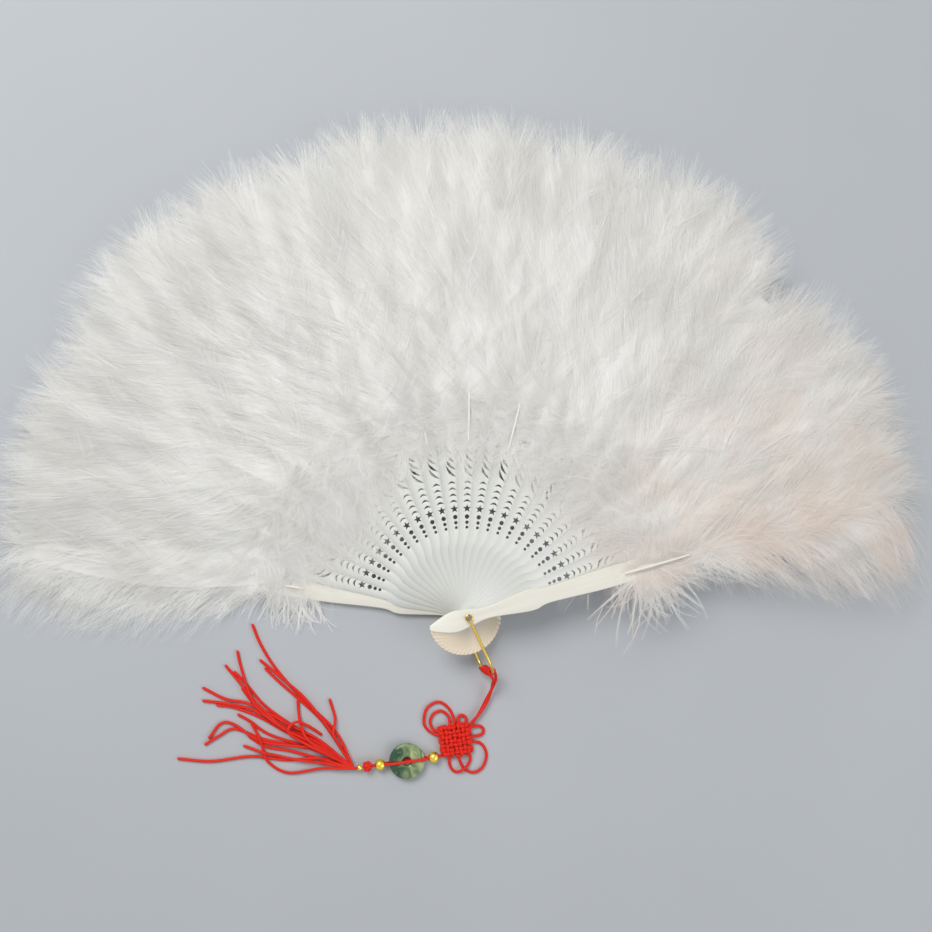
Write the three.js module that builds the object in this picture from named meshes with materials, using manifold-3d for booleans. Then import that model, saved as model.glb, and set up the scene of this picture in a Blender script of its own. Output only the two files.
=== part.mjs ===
// A folding feather fan lying open, face up: twenty-two pierced sticks between two plain guards on
// one rivet, a broad feather on every blade, and a wire bail that carries a red knotted tassel.
// Millimetres and degrees. The origin is the rivet's axis on the surface that the fan lies on; the
// fan spreads towards +Y, and +Z is up. A stick is drawn along its own X axis, out from the rivet.
import * as THREE from 'three';
import { mergeVertices } from 'three/addons/utils/BufferGeometryUtils.js';
import Module from 'manifold-3d';

// The spread
const STICK_COUNT = 22;
const REAR_GUARD_ANGLE = 170.3;
const OPENING = 155.25;

// The layers, from the surface up
const CLEARANCE = 0.3;
const STICK_T = 0.6;
const GUARD_T = 1.6;
const RIVET_FOOT_T = 0.8;
const RIVET_HEAD_T = 0.8;
const EYE_T = 1.0;

// The outline of a stick or guard: half widths at distances from the rivet
const TAIL_R = 21;
const TAIL_WIDEST_R = 9;
const TAIL_HALF = 5.4;
const HUB_HALF = 4.6;
const NECK_R = 11;
const NECK_HALF = 3.1;
const SHOULDER_R = 33.5;
const SHOULDER_HALF = 5.7;
const WAIST_R = 44;
const WAIST_HALF = 4.2;
const BLADE_R = 73;
const BLADE_HALF = 5.4;
const BLADE_END_R = 95;
const TONGUE_HALF = 1.6;
const TONGUE_TAPER = 2;
const TONGUE_END_R = 150;

// The piercing: four leaves, four crescents, a star and three dots, inwards from the blade's end
const LEAF_COUNT = 4;
const LEAF_LENGTH = 7.9;
const LEAF_PITCH = 3.9;
const LEAF_T = 1.2;
const LEAF_SLANT = 37;
const LEAF_FROM_END = 3.2;
const LEAF_TO_CRESCENT = 1.1;
const CRESCENT_COUNT = 4;
const CRESCENT_PITCH = 3.3;
const CRESCENT_HALF = 2.0;
const CRESCENT_T = 0.9;
const CRESCENT_DEPTH = 1.6;
const STAR_POINTS = 5;
const STAR_D = 4.4;
const STAR_WAIST = 0.42;
const DOT_DIAMETERS = [2.3, 1.8, 1.5];
const PIERCING_GAP = 0.95;

// The feathers: the tip of each one, from the rear guard to the front guard
const FEATHER_TIPS_R = [
  256, 258, 264, 268, 264, 281, 283, 276, 280, 274, 277, 273,
  271, 270, 273, 267, 275, 275, 268, 268, 268, 276, 266, 258,
];
const FEATHER_T = 0.6;
const FEATHER_BASE_HALF = 6.5;
const FEATHER_LOWER_R = 118;
const FEATHER_LOWER_HALF = 20;
const FEATHER_BELLY_R = 165;
const FEATHER_BELLY_HALF = 41;
const FEATHER_WIDEST_R = 215;
const FEATHER_WIDEST_HALF = 47;
const FEATHER_CROWN_DROP = 20;
const FEATHER_CROWN_HALF = 31;

// The rivet and the bail
const SHANK_D = 1.8;
const PIVOT_PLAY = 0.6;
const RIVET_FOOT_D = 3.2;
const RIVET_HEAD_D = 2.9;
const WIRE_D = 1.6;
const EYE_D = 4.6;
const BAIL_ANGLE = -65;
const BAIL_PAST_TAILS = 1.5;
const BAIL_REACH = 11.5;
const BAIL_FULLNESS = 0.65;
const BAIL_BIGHT_Z = 11;

// The tassel: the red cord, its knot, and what is threaded below it
const CORD_D = 1.6;
const FLOOR_SLACK = 0.15;
const KNOT_X = -4;
const KNOT_Y = -68.3;
const KNOT_SIDE = 18;
const KNOT_T = 5;
const KNOT_ROUNDING = 2.5;
const KNOT_EDGE = 1.2;
const PENDANT_ANGLE = 186;
const BEAD_D = 6;
const BEAD_PLAY = 1.4;
const DISC_D = 19;
const DISC_HOLE_D = 4.6;
const DISC_T = 2.8;
const DISC_EDGE = 0.9;
const BEAD_TO_DISC = 1.9;
const BUTTON_D = 4.6;
const BEAD_TO_BUTTON = 1.4;
const SMALL_BEAD_D = 3.2;
const SMALL_BEAD_PLAY = 0.6;

// The hanging cord's route, from the bail's bight (its first point is worked out) to the knot
const HANG_ROUTE = [[15.6, -40, 5.6], [12.2, -49, 2.9], [8.4, -55.2, 2.5]];

// The knot's ears, as loops about the middle of the knot
const KNOT_EARS = [
  [[-7, 2.4], [-12.8, 4], [-16.7, 9], [-15.2, 17], [-8.9, 20.3], [-3.2, 16.6], [-0.6, 10.4], [-1, 5]],
  [[-7, 4.2], [-11.6, 5.6], [-13.4, 9.6], [-11.8, 13.8], [-7.5, 15.4], [-3.8, 12.8], [-3, 8.4], [-4, 4]],
  [[1.9, 5], [1.5, 11.2], [3.7, 12.9], [5.8, 11.2], [5.2, 5]],
  [[5, 6], [13.2, 6.8], [15.6, 4.4], [13.6, 1.8], [5, 1.6]],
  [[5, -1], [13.7, -2.4], [17.1, -8.2], [15.4, -14.9], [10.8, -18.1], [5.5, -16.4], [2.4, -11], [2, -5]],
  [[-2, -5], [-3, -12.8], [0, -17.4], [4.8, -15.8], [8.2, -11], [6.4, -5]],
];

// The tassel's strands, each as points on the surface counted from where the bundle starts
const STRANDS = [
  [[-18.4, 6], [-34.1, 5], [-53.4, 7.5], [-73.9, 5.7], [-90.8, 7.5]],
  [[-17, 9.6], [-34, 13.2], [-48.6, 16.9], [-62, 22.3], [-70.3, 18.7], [-77, 14.7]],
  [[-14.8, 10.8], [-29.3, 12.6], [-47.4, 15.1], [-61.8, 24.3], [-69.1, 25.3], [-75.1, 18.1]],
  [[-17.2, 13.2], [-34.1, 21.7], [-51, 31.3], [-65.4, 35.5], [-78.1, 37.4]],
  [[-18.4, 15.7], [-36.5, 25.3], [-53.4, 34.9], [-66.6, 38], [-78.1, 44]],
  [[-17.2, 10.8], [-34.1, 20.5], [-45, 30.1], [-53.4, 38.6], [-59.4, 46.4], [-66.6, 55.4]],
  [[-17.2, 12], [-36.5, 22.5], [-49.8, 33], [-55.2, 43], [-59, 55.4], [-60.6, 62.7]],
  [[-6.4, 14.4], [-12.4, 22.9], [-29.3, 39.8], [-41.3, 54.2], [-48.6, 66.3], [-52.8, 76.5]],
  [[-7.4, 12.2], [-15.4, 24.5], [-25.5, 37.4], [-36.5, 47.5], [-48.6, 57.8]],
  [[-14.8, 9.6], [-24.5, 16.9], [-28.1, 25.3], [-29.3, 36.1]],
  [[-17.2, 0.2], [-34.1, -1.8], [-44.9, 4.8], [-48.6, 15.7], [-53.4, 25.3]],
  [[-6.4, 10.4], [-10.6, 18.3], [-9.7, 26.3], [-12.4, 36.1]],
  [[-18.4, 10.8], [-29.3, 16.4], [-34.5, 21.5], [-30.5, 25.6], [-24.5, 23.4], [-17.2, 18.1]],
  [[-20, 3.7], [-36, 6.5], [-48, 10], [-57, 13]],
];
const BUNDLE_R = 18;
const BUNDLE_FROM = 110;
const BUNDLE_TO = 186;
const STRAND_START = 0.6;
const LEAD_LANDING = 0.6;

// Counts of facets, and the length of one step of a strand
const EDGE_STEPS = 12;
const FEATHER_STEPS = 10;
const HOLE_SIDES = 6;
const DOT_SIDES = 6;
const TURNED_SIDES = 12;
const BEAD_STEPS = 5;
const WIRE_SIDES = 8;
const WIRE_STEPS = 22;
const CORD_SIDES = 8;
const DISC_CORD_STEPS = 24;
const HANG_STEPS = 5;
const LEAD_STEPS = 4;
const WEDGE_STEPS = 4;
const EAR_SIDES = 6;
const EAR_STEPS = 8;
const KNOT_ARC_STEPS = 3;
const STRAND_STEP = 22;
const SAME_POINT = 1e-6;

// Levels and places that follow from the sizes above
const LAYER = Math.max(STICK_T, FEATHER_T) + CLEARANCE;
const GUARD_LAYER = Math.max(GUARD_T, FEATHER_T) + CLEARANCE;
const LOWER_EYE_Z = RIVET_FOOT_T + CLEARANCE;
const REAR_GUARD_Z = LOWER_EYE_Z + EYE_T + CLEARANCE;
const FIRST_STICK_Z = REAR_GUARD_Z + GUARD_LAYER;
const FRONT_GUARD_Z = FIRST_STICK_Z + STICK_COUNT * LAYER;
const UPPER_EYE_Z = FRONT_GUARD_Z + GUARD_LAYER;
const RIVET_HEAD_Z = UPPER_EYE_Z + EYE_T + CLEARANCE;
const PIVOT_HOLE_D = SHANK_D + PIVOT_PLAY;
const STEP_ANGLE = OPENING / (STICK_COUNT + 1);
const FEATHER_BASE_R = BLADE_END_R + TONGUE_TAPER + CLEARANCE;
const CORD_Z = CORD_D / 2 + FLOOR_SLACK;
const THREAD_Z = Math.max(BEAD_D / 2, DISC_T / 2 + CLEARANCE + CORD_D) + 2 * FLOOR_SLACK;
const BAIL_FLAT_END = TAIL_R + BAIL_PAST_TAILS;
const BAIL_LENGTH = BAIL_FLAT_END + BAIL_REACH;

const wasm = await Module();
wasm.setup();

const radians = THREE.MathUtils.degToRad;

const finish = (color, roughness, metalness = 0) =>
  new THREE.MeshStandardMaterial({ color, roughness, metalness });
const milkyPlastic = finish('#e3e1d8', 0.35);
const feather = finish('#e6e4df', 0.95);
const brass = finish('#c8a035', 0.25, 1);
const steel = finish('#76736b', 0.4, 1);
const redCord = finish('#c5241a', 0.7);
const jadeGlass = finish('#5f8d66', 0.15);
const goldPlating = finish('#e0ba3f', 0.2, 1);

const fan = new THREE.Group();

function place(name, geometry, material, parent = fan) {
  const mesh = new THREE.Mesh(geometry, material);
  mesh.name = name;
  parent.add(mesh);
  return mesh;
}

// The closed solid inside a geometry, with its shared corners merged.
function solidOf(geometry) {
  const bare = new THREE.BufferGeometry();
  bare.setAttribute('position', geometry.attributes.position);
  bare.setIndex(geometry.index);
  const { attributes, index } = mergeVertices(bare);
  const corners = index.array;
  const kept = [];
  for (let i = 0; i < corners.length; i += 3) {
    const [a, b, c] = corners.slice(i, i + 3);
    if (a !== b && b !== c && c !== a) kept.push(a, b, c);
  }
  return new wasm.Manifold(new wasm.Mesh({
    numProp: 3,
    vertProperties: new Float32Array(attributes.position.array),
    triVerts: new Uint32Array(kept),
  }));
}

function joined(...geometries) {
  const solid = geometries.map(solidOf).reduce((sum, next) => sum.add(next));
  const { vertProperties, triVerts, numProp } = solid.getMesh();
  const geometry = new THREE.BufferGeometry();
  geometry.setAttribute('position', new THREE.BufferAttribute(vertProperties, numProp));
  geometry.setIndex(new THREE.BufferAttribute(triVerts, 1));
  return geometry;
}

function polygon(sides, diameter, x = 0, y = 0) {
  const corner = (i) => {
    const turn = (2 * Math.PI * (i + 0.5)) / sides;
    return new THREE.Vector2(x + (diameter / 2) * Math.cos(turn), y + (diameter / 2) * Math.sin(turn));
  };
  return Array.from({ length: sides }, (_, i) => corner(i));
}

// A flat plate of the given outline and holes, from level z upwards.
function plate(outline, holes, thickness, z) {
  const shape = new THREE.Shape(outline);
  shape.holes = holes.map((points) => new THREE.Path(points));
  const geometry = new THREE.ExtrudeGeometry(shape, { depth: thickness, bevelEnabled: false });
  return geometry.translate(0, 0, z);
}

// A round bar along a curve.
function tube(curve, diameter, sides, steps) {
  const section = new THREE.Shape(polygon(sides, diameter));
  return new THREE.ExtrudeGeometry(section, { steps, extrudePath: curve, bevelEnabled: false });
}

// A turned piece about Z, from a profile of [radius, height] pairs.
function turned(profile) {
  const points = profile.map(([r, z]) => new THREE.Vector2(r, z));
  return new THREE.LatheGeometry(points, TURNED_SIDES).rotateX(Math.PI / 2);
}

function smooth(points) {
  return new THREE.CatmullRomCurve3(points.map((p) => new THREE.Vector3(...p)));
}

// One edge mirrored to both sides of the X axis, from its first point on the axis round to it again.
function mirrored(edge) {
  const back = edge.map((p) => new THREE.Vector2(p.x, -p.y)).reverse();
  return [...edge, ...back].filter((p, i, all) => i === 0 || p.distanceTo(all[i - 1]) > SAME_POINT);
}

function stickOutline() {
  const edge = new THREE.SplineCurve([
    new THREE.Vector2(-TAIL_R, 0),
    new THREE.Vector2(-TAIL_WIDEST_R, TAIL_HALF),
    new THREE.Vector2(0, HUB_HALF),
    new THREE.Vector2(NECK_R, NECK_HALF),
    new THREE.Vector2(SHOULDER_R, SHOULDER_HALF),
    new THREE.Vector2(WAIST_R, WAIST_HALF),
    new THREE.Vector2(BLADE_R, BLADE_HALF),
    new THREE.Vector2(BLADE_END_R, BLADE_HALF),
  ]).getPoints(EDGE_STEPS);
  const tongue = [
    new THREE.Vector2(BLADE_END_R + TONGUE_TAPER, TONGUE_HALF),
    new THREE.Vector2(TONGUE_END_R, TONGUE_HALF),
  ];
  return mirrored([...edge, ...tongue]).slice(0, -1);
}

// Each hole of the piercing is drawn inwards from its outer end, at distance r from the rivet.
function star(r) {
  const corner = (i) => {
    const turn = (Math.PI * i) / STAR_POINTS;
    const reach = (STAR_D / 2) * (i % 2 ? STAR_WAIST : 1);
    return new THREE.Vector2(r - STAR_D / 2 + reach * Math.cos(turn), reach * Math.sin(turn));
  };
  return Array.from({ length: 2 * STAR_POINTS }, (_, i) => corner(i));
}

function crescent(r) {
  const horn = r - CRESCENT_DEPTH;
  return [
    new THREE.Vector2(horn, -CRESCENT_HALF),
    new THREE.Vector2(r, -CRESCENT_HALF / 2),
    new THREE.Vector2(r, CRESCENT_HALF / 2),
    new THREE.Vector2(horn, CRESCENT_HALF),
    new THREE.Vector2(r - CRESCENT_T, 0),
  ];
}

function leaf(r) {
  const middle = new THREE.Vector2(r - LEAF_LENGTH / 2, 0);
  const points = [
    new THREE.Vector2(r - LEAF_LENGTH, 0),
    new THREE.Vector2(middle.x, -LEAF_T / 2),
    new THREE.Vector2(r, 0),
    new THREE.Vector2(middle.x, LEAF_T / 2),
  ];
  return points.map((p) => p.rotateAround(middle, radians(LEAF_SLANT)));
}

function piercedHoles() {
  const leafEnd = BLADE_END_R - LEAF_FROM_END;
  const leaves = Array.from({ length: LEAF_COUNT }, (_, i) => leaf(leafEnd - i * LEAF_PITCH));
  const crescentEnd = leafEnd - (LEAF_COUNT - 1) * LEAF_PITCH - LEAF_LENGTH - LEAF_TO_CRESCENT;
  const crescents = Array.from(
    { length: CRESCENT_COUNT },
    (_, i) => crescent(crescentEnd - i * CRESCENT_PITCH),
  );
  const starEnd = crescentEnd - (CRESCENT_COUNT - 1) * CRESCENT_PITCH - CRESCENT_DEPTH - PIERCING_GAP;
  let end = starEnd - STAR_D - PIERCING_GAP;
  const dots = DOT_DIAMETERS.map((d) => {
    const dot = polygon(DOT_SIDES, d, end - d / 2);
    end -= d + PIERCING_GAP;
    return dot;
  });
  return [...leaves, ...crescents, star(starEnd), ...dots];
}

// A feather's vane, with a slot at its base for the stick's tongue.
function featherOutline(tip) {
  const edge = new THREE.SplineCurve([
    new THREE.Vector2(FEATHER_BASE_R, FEATHER_BASE_HALF),
    new THREE.Vector2(FEATHER_LOWER_R, FEATHER_LOWER_HALF),
    new THREE.Vector2(FEATHER_BELLY_R, FEATHER_BELLY_HALF),
    new THREE.Vector2(FEATHER_WIDEST_R, FEATHER_WIDEST_HALF),
    new THREE.Vector2(tip - FEATHER_CROWN_DROP, FEATHER_CROWN_HALF),
    new THREE.Vector2(tip, 0),
  ]).getPoints(FEATHER_STEPS);
  const slotHalf = TONGUE_HALF + CLEARANCE;
  const slotEnd = TONGUE_END_R + CLEARANCE;
  const slot = [new THREE.Vector2(slotEnd, slotHalf), new THREE.Vector2(FEATHER_BASE_R, slotHalf)];
  return mirrored([...slot, ...edge]);
}

// Sticks, guards and feathers, counted from the rear guard
const outline = stickOutline();
const pivotHole = polygon(HOLE_SIDES, PIVOT_HOLE_D / Math.cos(Math.PI / HOLE_SIDES));
const piercing = piercedHoles();

function addBlade(index, names, holes, thickness, z) {
  const turn = radians(REAR_GUARD_ANGLE - index * STEP_ANGLE);
  const blade = place(names[0], plate(outline, [pivotHole, ...holes], thickness, z), milkyPlastic);
  const tip = FEATHER_TIPS_R[index % FEATHER_TIPS_R.length];
  const vane = place(names[1], plate(featherOutline(tip), [], FEATHER_T, z), feather);
  blade.rotation.z = turn;
  vane.rotation.z = turn;
}

addBlade(0, ['rear_guard', 'rear_feather'], [], GUARD_T, REAR_GUARD_Z);
for (let i = 1; i <= STICK_COUNT; i += 1) {
  const number = String(i).padStart(2, '0');
  const z = FIRST_STICK_Z + (i - 1) * LAYER;
  addBlade(i, [`stick_${number}`, `feather_${number}`], piercing, STICK_T, z);
}
addBlade(STICK_COUNT + 1, ['front_guard', 'front_feather'], [], GUARD_T, FRONT_GUARD_Z);

// The rivet through the whole stack, standing on its foot
place('pivot_rivet', turned([
  [0, 0],
  [RIVET_FOOT_D / 2, 0],
  [RIVET_FOOT_D / 2, RIVET_FOOT_T],
  [SHANK_D / 2, RIVET_FOOT_T],
  [SHANK_D / 2, RIVET_HEAD_Z],
  [RIVET_HEAD_D / 2, RIVET_HEAD_Z],
  [RIVET_HEAD_D / 2, RIVET_HEAD_Z + RIVET_HEAD_T],
  [0, RIVET_HEAD_Z + RIVET_HEAD_T],
]), steel);

// The bail: an eye on each side of the stack, and a wire that runs flat over the tails and then
// closes in a rounded bight. It is drawn along X and turned to its angle.
function bailEye(z) {
  const inner = PIVOT_HOLE_D / 2;
  const outer = EYE_D / 2;
  return turned([[inner, z], [outer, z], [outer, z + EYE_T], [inner, z + EYE_T], [inner, z]]);
}

function bailWire() {
  const start = Math.max(RIVET_FOOT_D, RIVET_HEAD_D) / 2 + CLEARANCE;
  const upper = UPPER_EYE_Z + WIRE_D / 2;
  const lower = LOWER_EYE_Z + EYE_T - WIRE_D / 2;
  const at = (x, z) => new THREE.Vector3(x, 0, z);
  const shoulder = BAIL_FLAT_END + BAIL_FULLNESS * BAIL_REACH;
  const bight = at(BAIL_LENGTH, BAIL_BIGHT_Z);
  const path = new THREE.CurvePath();
  path.add(new THREE.LineCurve3(at(start, upper), at(BAIL_FLAT_END, upper)));
  path.add(new THREE.CubicBezierCurve3(
    at(BAIL_FLAT_END, upper),
    at(shoulder, upper),
    at(BAIL_LENGTH, (upper + BAIL_BIGHT_Z) / 2),
    bight,
  ));
  path.add(new THREE.CubicBezierCurve3(
    bight,
    at(BAIL_LENGTH, (lower + BAIL_BIGHT_Z) / 2),
    at(shoulder, lower),
    at(BAIL_FLAT_END, lower),
  ));
  path.add(new THREE.LineCurve3(at(BAIL_FLAT_END, lower), at(start, lower)));
  return tube(path, WIRE_D, WIRE_SIDES, WIRE_STEPS);
}

const bail = place('bail', joined(bailEye(LOWER_EYE_Z), bailEye(UPPER_EYE_Z), bailWire()), brass);
bail.rotation.z = radians(BAIL_ANGLE);

// The hanging cord: a loop round the bail's bight, and two runs side by side down to the knot
const bightX = BAIL_LENGTH * Math.cos(radians(BAIL_ANGLE));
const bightY = BAIL_LENGTH * Math.sin(radians(BAIL_ANGLE));
const knotCorner = KNOT_SIDE / 2 - KNOT_ROUNDING * (1 - Math.SQRT1_2);

function hangingCord() {
  const loopR = WIRE_D / 2 + 2 * CLEARANCE + CORD_D / 2;
  const loop = new THREE.TorusGeometry(loopR, CORD_D / 2, CORD_SIDES, TURNED_SIDES);
  loop.translate(bightX, bightY, BAIL_BIGHT_Z);
  const knotEntry = knotCorner + 2 * CLEARANCE;
  const route = [
    [bightX + loopR / 2, bightY - loopR, BAIL_BIGHT_Z],
    ...HANG_ROUTE,
    [KNOT_X + knotEntry, KNOT_Y + knotEntry, KNOT_T / 2],
  ];
  const run = (side) => {
    const offset = ((side * CORD_D) / 2) * Math.SQRT1_2;
    const curve = smooth(route.map(([x, y, z]) => [x + offset, y - offset, z]));
    return tube(curve, CORD_D, CORD_SIDES, HANG_STEPS);
  };
  return joined(loop, run(1), run(-1));
}

place('hang_cord', hangingCord(), redCord);

// The knot: a woven cushion, kept here as its outer shape, with its ears of cord
function knotCushion() {
  const inset = KNOT_SIDE / 2 - KNOT_EDGE;
  const arm = inset - KNOT_ROUNDING;
  const shape = new THREE.Shape();
  for (let quarter = 0; quarter < 4; quarter += 1) {
    const from = (quarter * Math.PI) / 2;
    const x = arm * Math.SQRT2 * Math.cos(from + Math.PI / 4);
    const y = arm * Math.SQRT2 * Math.sin(from + Math.PI / 4);
    shape.absarc(x, y, KNOT_ROUNDING, from, from + Math.PI / 2);
  }
  const geometry = new THREE.ExtrudeGeometry(shape, {
    depth: KNOT_T - 2 * KNOT_EDGE,
    bevelThickness: KNOT_EDGE,
    bevelSize: KNOT_EDGE,
    bevelSegments: 1,
    curveSegments: KNOT_ARC_STEPS,
  });
  return geometry.translate(0, 0, KNOT_EDGE);
}

function knotEar(points) {
  return tube(smooth(points.map(([x, y]) => [x, y, KNOT_T / 2])), CORD_D, EAR_SIDES, EAR_STEPS);
}

const knot = place('knot', joined(knotCushion(), ...KNOT_EARS.map(knotEar)), redCord);
knot.position.set(KNOT_X, KNOT_Y, 0);

// The pendant: what is threaded between the knot and the strands, along the group's own X axis
const BEAD_AT = 2 * CLEARANCE + BEAD_D / 2;
const DISC_AT = BEAD_AT + BEAD_D / 2 + BEAD_TO_DISC + DISC_D / 2;
const LOWER_BEAD_AT = DISC_AT + DISC_D / 2 + BEAD_TO_DISC + BEAD_D / 2;
const BUTTON_AT = LOWER_BEAD_AT + BEAD_D / 2 + BEAD_TO_BUTTON + BUTTON_D / 2;
const SMALL_BEAD_AT = BUTTON_AT + BUTTON_D / 2 + CLEARANCE + SMALL_BEAD_D / 2;
const STRANDS_AT = SMALL_BEAD_AT + SMALL_BEAD_D / 2 + CORD_D;

const pendant = new THREE.Group();
pendant.position.set(KNOT_X - knotCorner, KNOT_Y - knotCorner, 0);
pendant.rotation.z = radians(PENDANT_ANGLE);
fan.add(pendant);

// A round bead with a bore along Z, as a closed ring of profile points.
function bead(diameter, bore) {
  const r = diameter / 2;
  const from = Math.asin(bore / diameter);
  const arc = Array.from({ length: BEAD_STEPS + 1 }, (_, i) => {
    const turn = from + ((Math.PI - 2 * from) * i) / BEAD_STEPS;
    return [r * Math.sin(turn), -r * Math.cos(turn)];
  });
  return turned([...arc, arc[0]]);
}

function threaded(name, at, diameter, bore) {
  const geometry = bead(diameter, bore).rotateY(Math.PI / 2).translate(at, 0, THREAD_Z);
  place(name, geometry, goldPlating, pendant);
}

threaded('bead_upper', BEAD_AT, BEAD_D, CORD_D + BEAD_PLAY);
threaded('bead_lower', LOWER_BEAD_AT, BEAD_D, CORD_D + BEAD_PLAY);
threaded('bead_small', SMALL_BEAD_AT, SMALL_BEAD_D, CORD_D + SMALL_BEAD_PLAY);

// The glass disc lies flat between the front and the back run of the cord
const DISC_Z = THREAD_Z - DISC_T / 2;
const discRing = turned([
  [DISC_HOLE_D / 2, 0],
  [DISC_D / 2 - DISC_EDGE, 0],
  [DISC_D / 2, DISC_EDGE],
  [DISC_D / 2, DISC_T - DISC_EDGE],
  [DISC_D / 2 - DISC_EDGE, DISC_T],
  [DISC_HOLE_D / 2, DISC_T],
  [DISC_HOLE_D / 2, 0],
]);
place('disc', discRing.translate(DISC_AT, 0, DISC_Z), jadeGlass, pendant);

function discRun(side) {
  const over = DISC_T / 2 + CLEARANCE + CORD_D / 2;
  const edge = over - DISC_EDGE / 2;
  const half = [
    [DISC_D / 2 + BEAD_TO_DISC + BEAD_D / 2, 0],
    [DISC_D / 2 + BEAD_TO_DISC + BEAD_D / 8, 0],
    [DISC_D / 2, edge],
    [DISC_D / 2 - 2 * DISC_EDGE, over],
  ];
  const route = [
    [-DISC_AT + CLEARANCE, 0],
    ...half.map(([x, z]) => [-x, z]),
    ...half.reverse(),
    [BUTTON_AT - BUTTON_D / 2 - CLEARANCE - DISC_AT, 0],
  ];
  const curve = smooth(route.map(([x, z]) => [DISC_AT + x, 0, THREAD_Z + side * z]));
  return tube(curve, CORD_D, CORD_SIDES, DISC_CORD_STEPS);
}

place('disc_cord', joined(discRun(1), discRun(-1)), redCord, pendant);

const button = new THREE.SphereGeometry(BUTTON_D / 2, TURNED_SIDES, BEAD_STEPS);
place('tassel_knot', button.translate(BUTTON_AT, 0, THREAD_Z), redCord, pendant);

// The strands: one lead out of the small bead, a dense wedge where all of them lie together, and
// each strand's own run over the surface from there
function strandWedge() {
  const wedge = new THREE.Shape();
  wedge.moveTo(0, 0);
  wedge.lineTo(BUNDLE_R * Math.cos(radians(BUNDLE_FROM)), BUNDLE_R * Math.sin(radians(BUNDLE_FROM)));
  wedge.absarc(0, 0, BUNDLE_R, radians(BUNDLE_FROM), radians(BUNDLE_TO));
  const options = { depth: CORD_D, bevelEnabled: false, curveSegments: WEDGE_STEPS };
  return new THREE.ExtrudeGeometry(wedge, options).translate(0, 0, CORD_Z - CORD_D / 2);
}

function strandLead() {
  const turn = radians(PENDANT_ANGLE);
  const lead = STRANDS_AT - (BUTTON_AT + BUTTON_D / 2 + CLEARANCE);
  const middle = radians((BUNDLE_FROM + BUNDLE_TO) / 2);
  const landing = LEAD_LANDING * BUNDLE_R;
  const x = landing * Math.cos(middle);
  const y = landing * Math.sin(middle);
  return tube(smooth([
    [-lead * Math.cos(turn), -lead * Math.sin(turn), THREAD_Z],
    [0, 0, THREAD_Z],
    [x / 2, y / 2, (THREAD_Z + CORD_Z) / 2],
    [x, y, CORD_Z],
  ]), CORD_D, CORD_SIDES, LEAD_STEPS);
}

function strand(points) {
  const [first] = points;
  const inBundle = first.map((x) => STRAND_START * x);
  const route = smooth([inBundle, ...points].map(([x, y]) => [x, y, CORD_Z]));
  return tube(route, CORD_D, CORD_SIDES, Math.ceil(route.getLength() / STRAND_STEP) + 1);
}

const strands = place(
  'tassel_strands',
  joined(strandLead(), strandWedge(), ...STRANDS.map(strand)),
  redCord,
);
strands.position.set(
  pendant.position.x + STRANDS_AT * Math.cos(pendant.rotation.z),
  pendant.position.y + STRANDS_AT * Math.sin(pendant.rotation.z),
  0,
);

export default fan;
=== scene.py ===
# %% [markdown]
# # A folding feather fan with a red knotted tassel
# The fan lies open on a table, face up. Twenty-two thin plastic sticks and two thicker guards turn on one
# rivet, and each of them carries a white downy feather. A brass bail on the rivet holds a tassel of red
# cord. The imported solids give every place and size; this lesson dresses them.

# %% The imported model
import math
from collections import namedtuple

import bmesh
import bpy
import numpy as np
from mathutils import Matrix, Vector


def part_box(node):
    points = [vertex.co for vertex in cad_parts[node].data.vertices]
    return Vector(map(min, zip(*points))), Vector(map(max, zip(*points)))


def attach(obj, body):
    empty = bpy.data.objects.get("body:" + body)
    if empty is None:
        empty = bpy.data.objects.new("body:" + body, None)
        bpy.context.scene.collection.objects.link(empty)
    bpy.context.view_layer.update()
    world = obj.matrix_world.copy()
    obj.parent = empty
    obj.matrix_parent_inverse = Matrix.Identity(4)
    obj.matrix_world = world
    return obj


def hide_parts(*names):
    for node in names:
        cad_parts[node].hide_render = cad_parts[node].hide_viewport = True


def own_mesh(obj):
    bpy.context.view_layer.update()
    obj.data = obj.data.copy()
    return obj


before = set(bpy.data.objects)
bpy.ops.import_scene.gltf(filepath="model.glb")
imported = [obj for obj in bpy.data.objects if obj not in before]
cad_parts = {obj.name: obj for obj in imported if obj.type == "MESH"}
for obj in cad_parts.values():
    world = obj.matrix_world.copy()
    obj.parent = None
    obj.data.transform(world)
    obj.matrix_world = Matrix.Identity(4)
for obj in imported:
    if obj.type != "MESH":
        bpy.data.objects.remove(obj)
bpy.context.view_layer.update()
MM = 0.001
scene = bpy.context.scene
scene.view_settings.view_transform = "Standard"

# %% [markdown]
# ## The camera
# The photograph looks almost straight down, a little from the left, so that both legs of the bail show.
# One pixel is 0.54 mm on the table, which fixes the distance and the lens together. The camera is placed
# by its three axes, because "up" is undefined for a lens that looks down.

# %% Camera
IMAGE_PIXELS = 932
MM_PER_PIXEL = 0.54
RIVET_PIXEL = (462, 612)
CAMERA_DISTANCE = 650 * MM
CAMERA_FROM_LEFT = math.radians(8)


def on_table(pixel):
    """The point of the table that a pixel of the photograph shows."""
    across = (pixel[0] - RIVET_PIXEL[0]) * MM_PER_PIXEL * MM
    away = (RIVET_PIXEL[1] - pixel[1]) * MM_PER_PIXEL * MM
    return Vector((across, away, 0))


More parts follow.
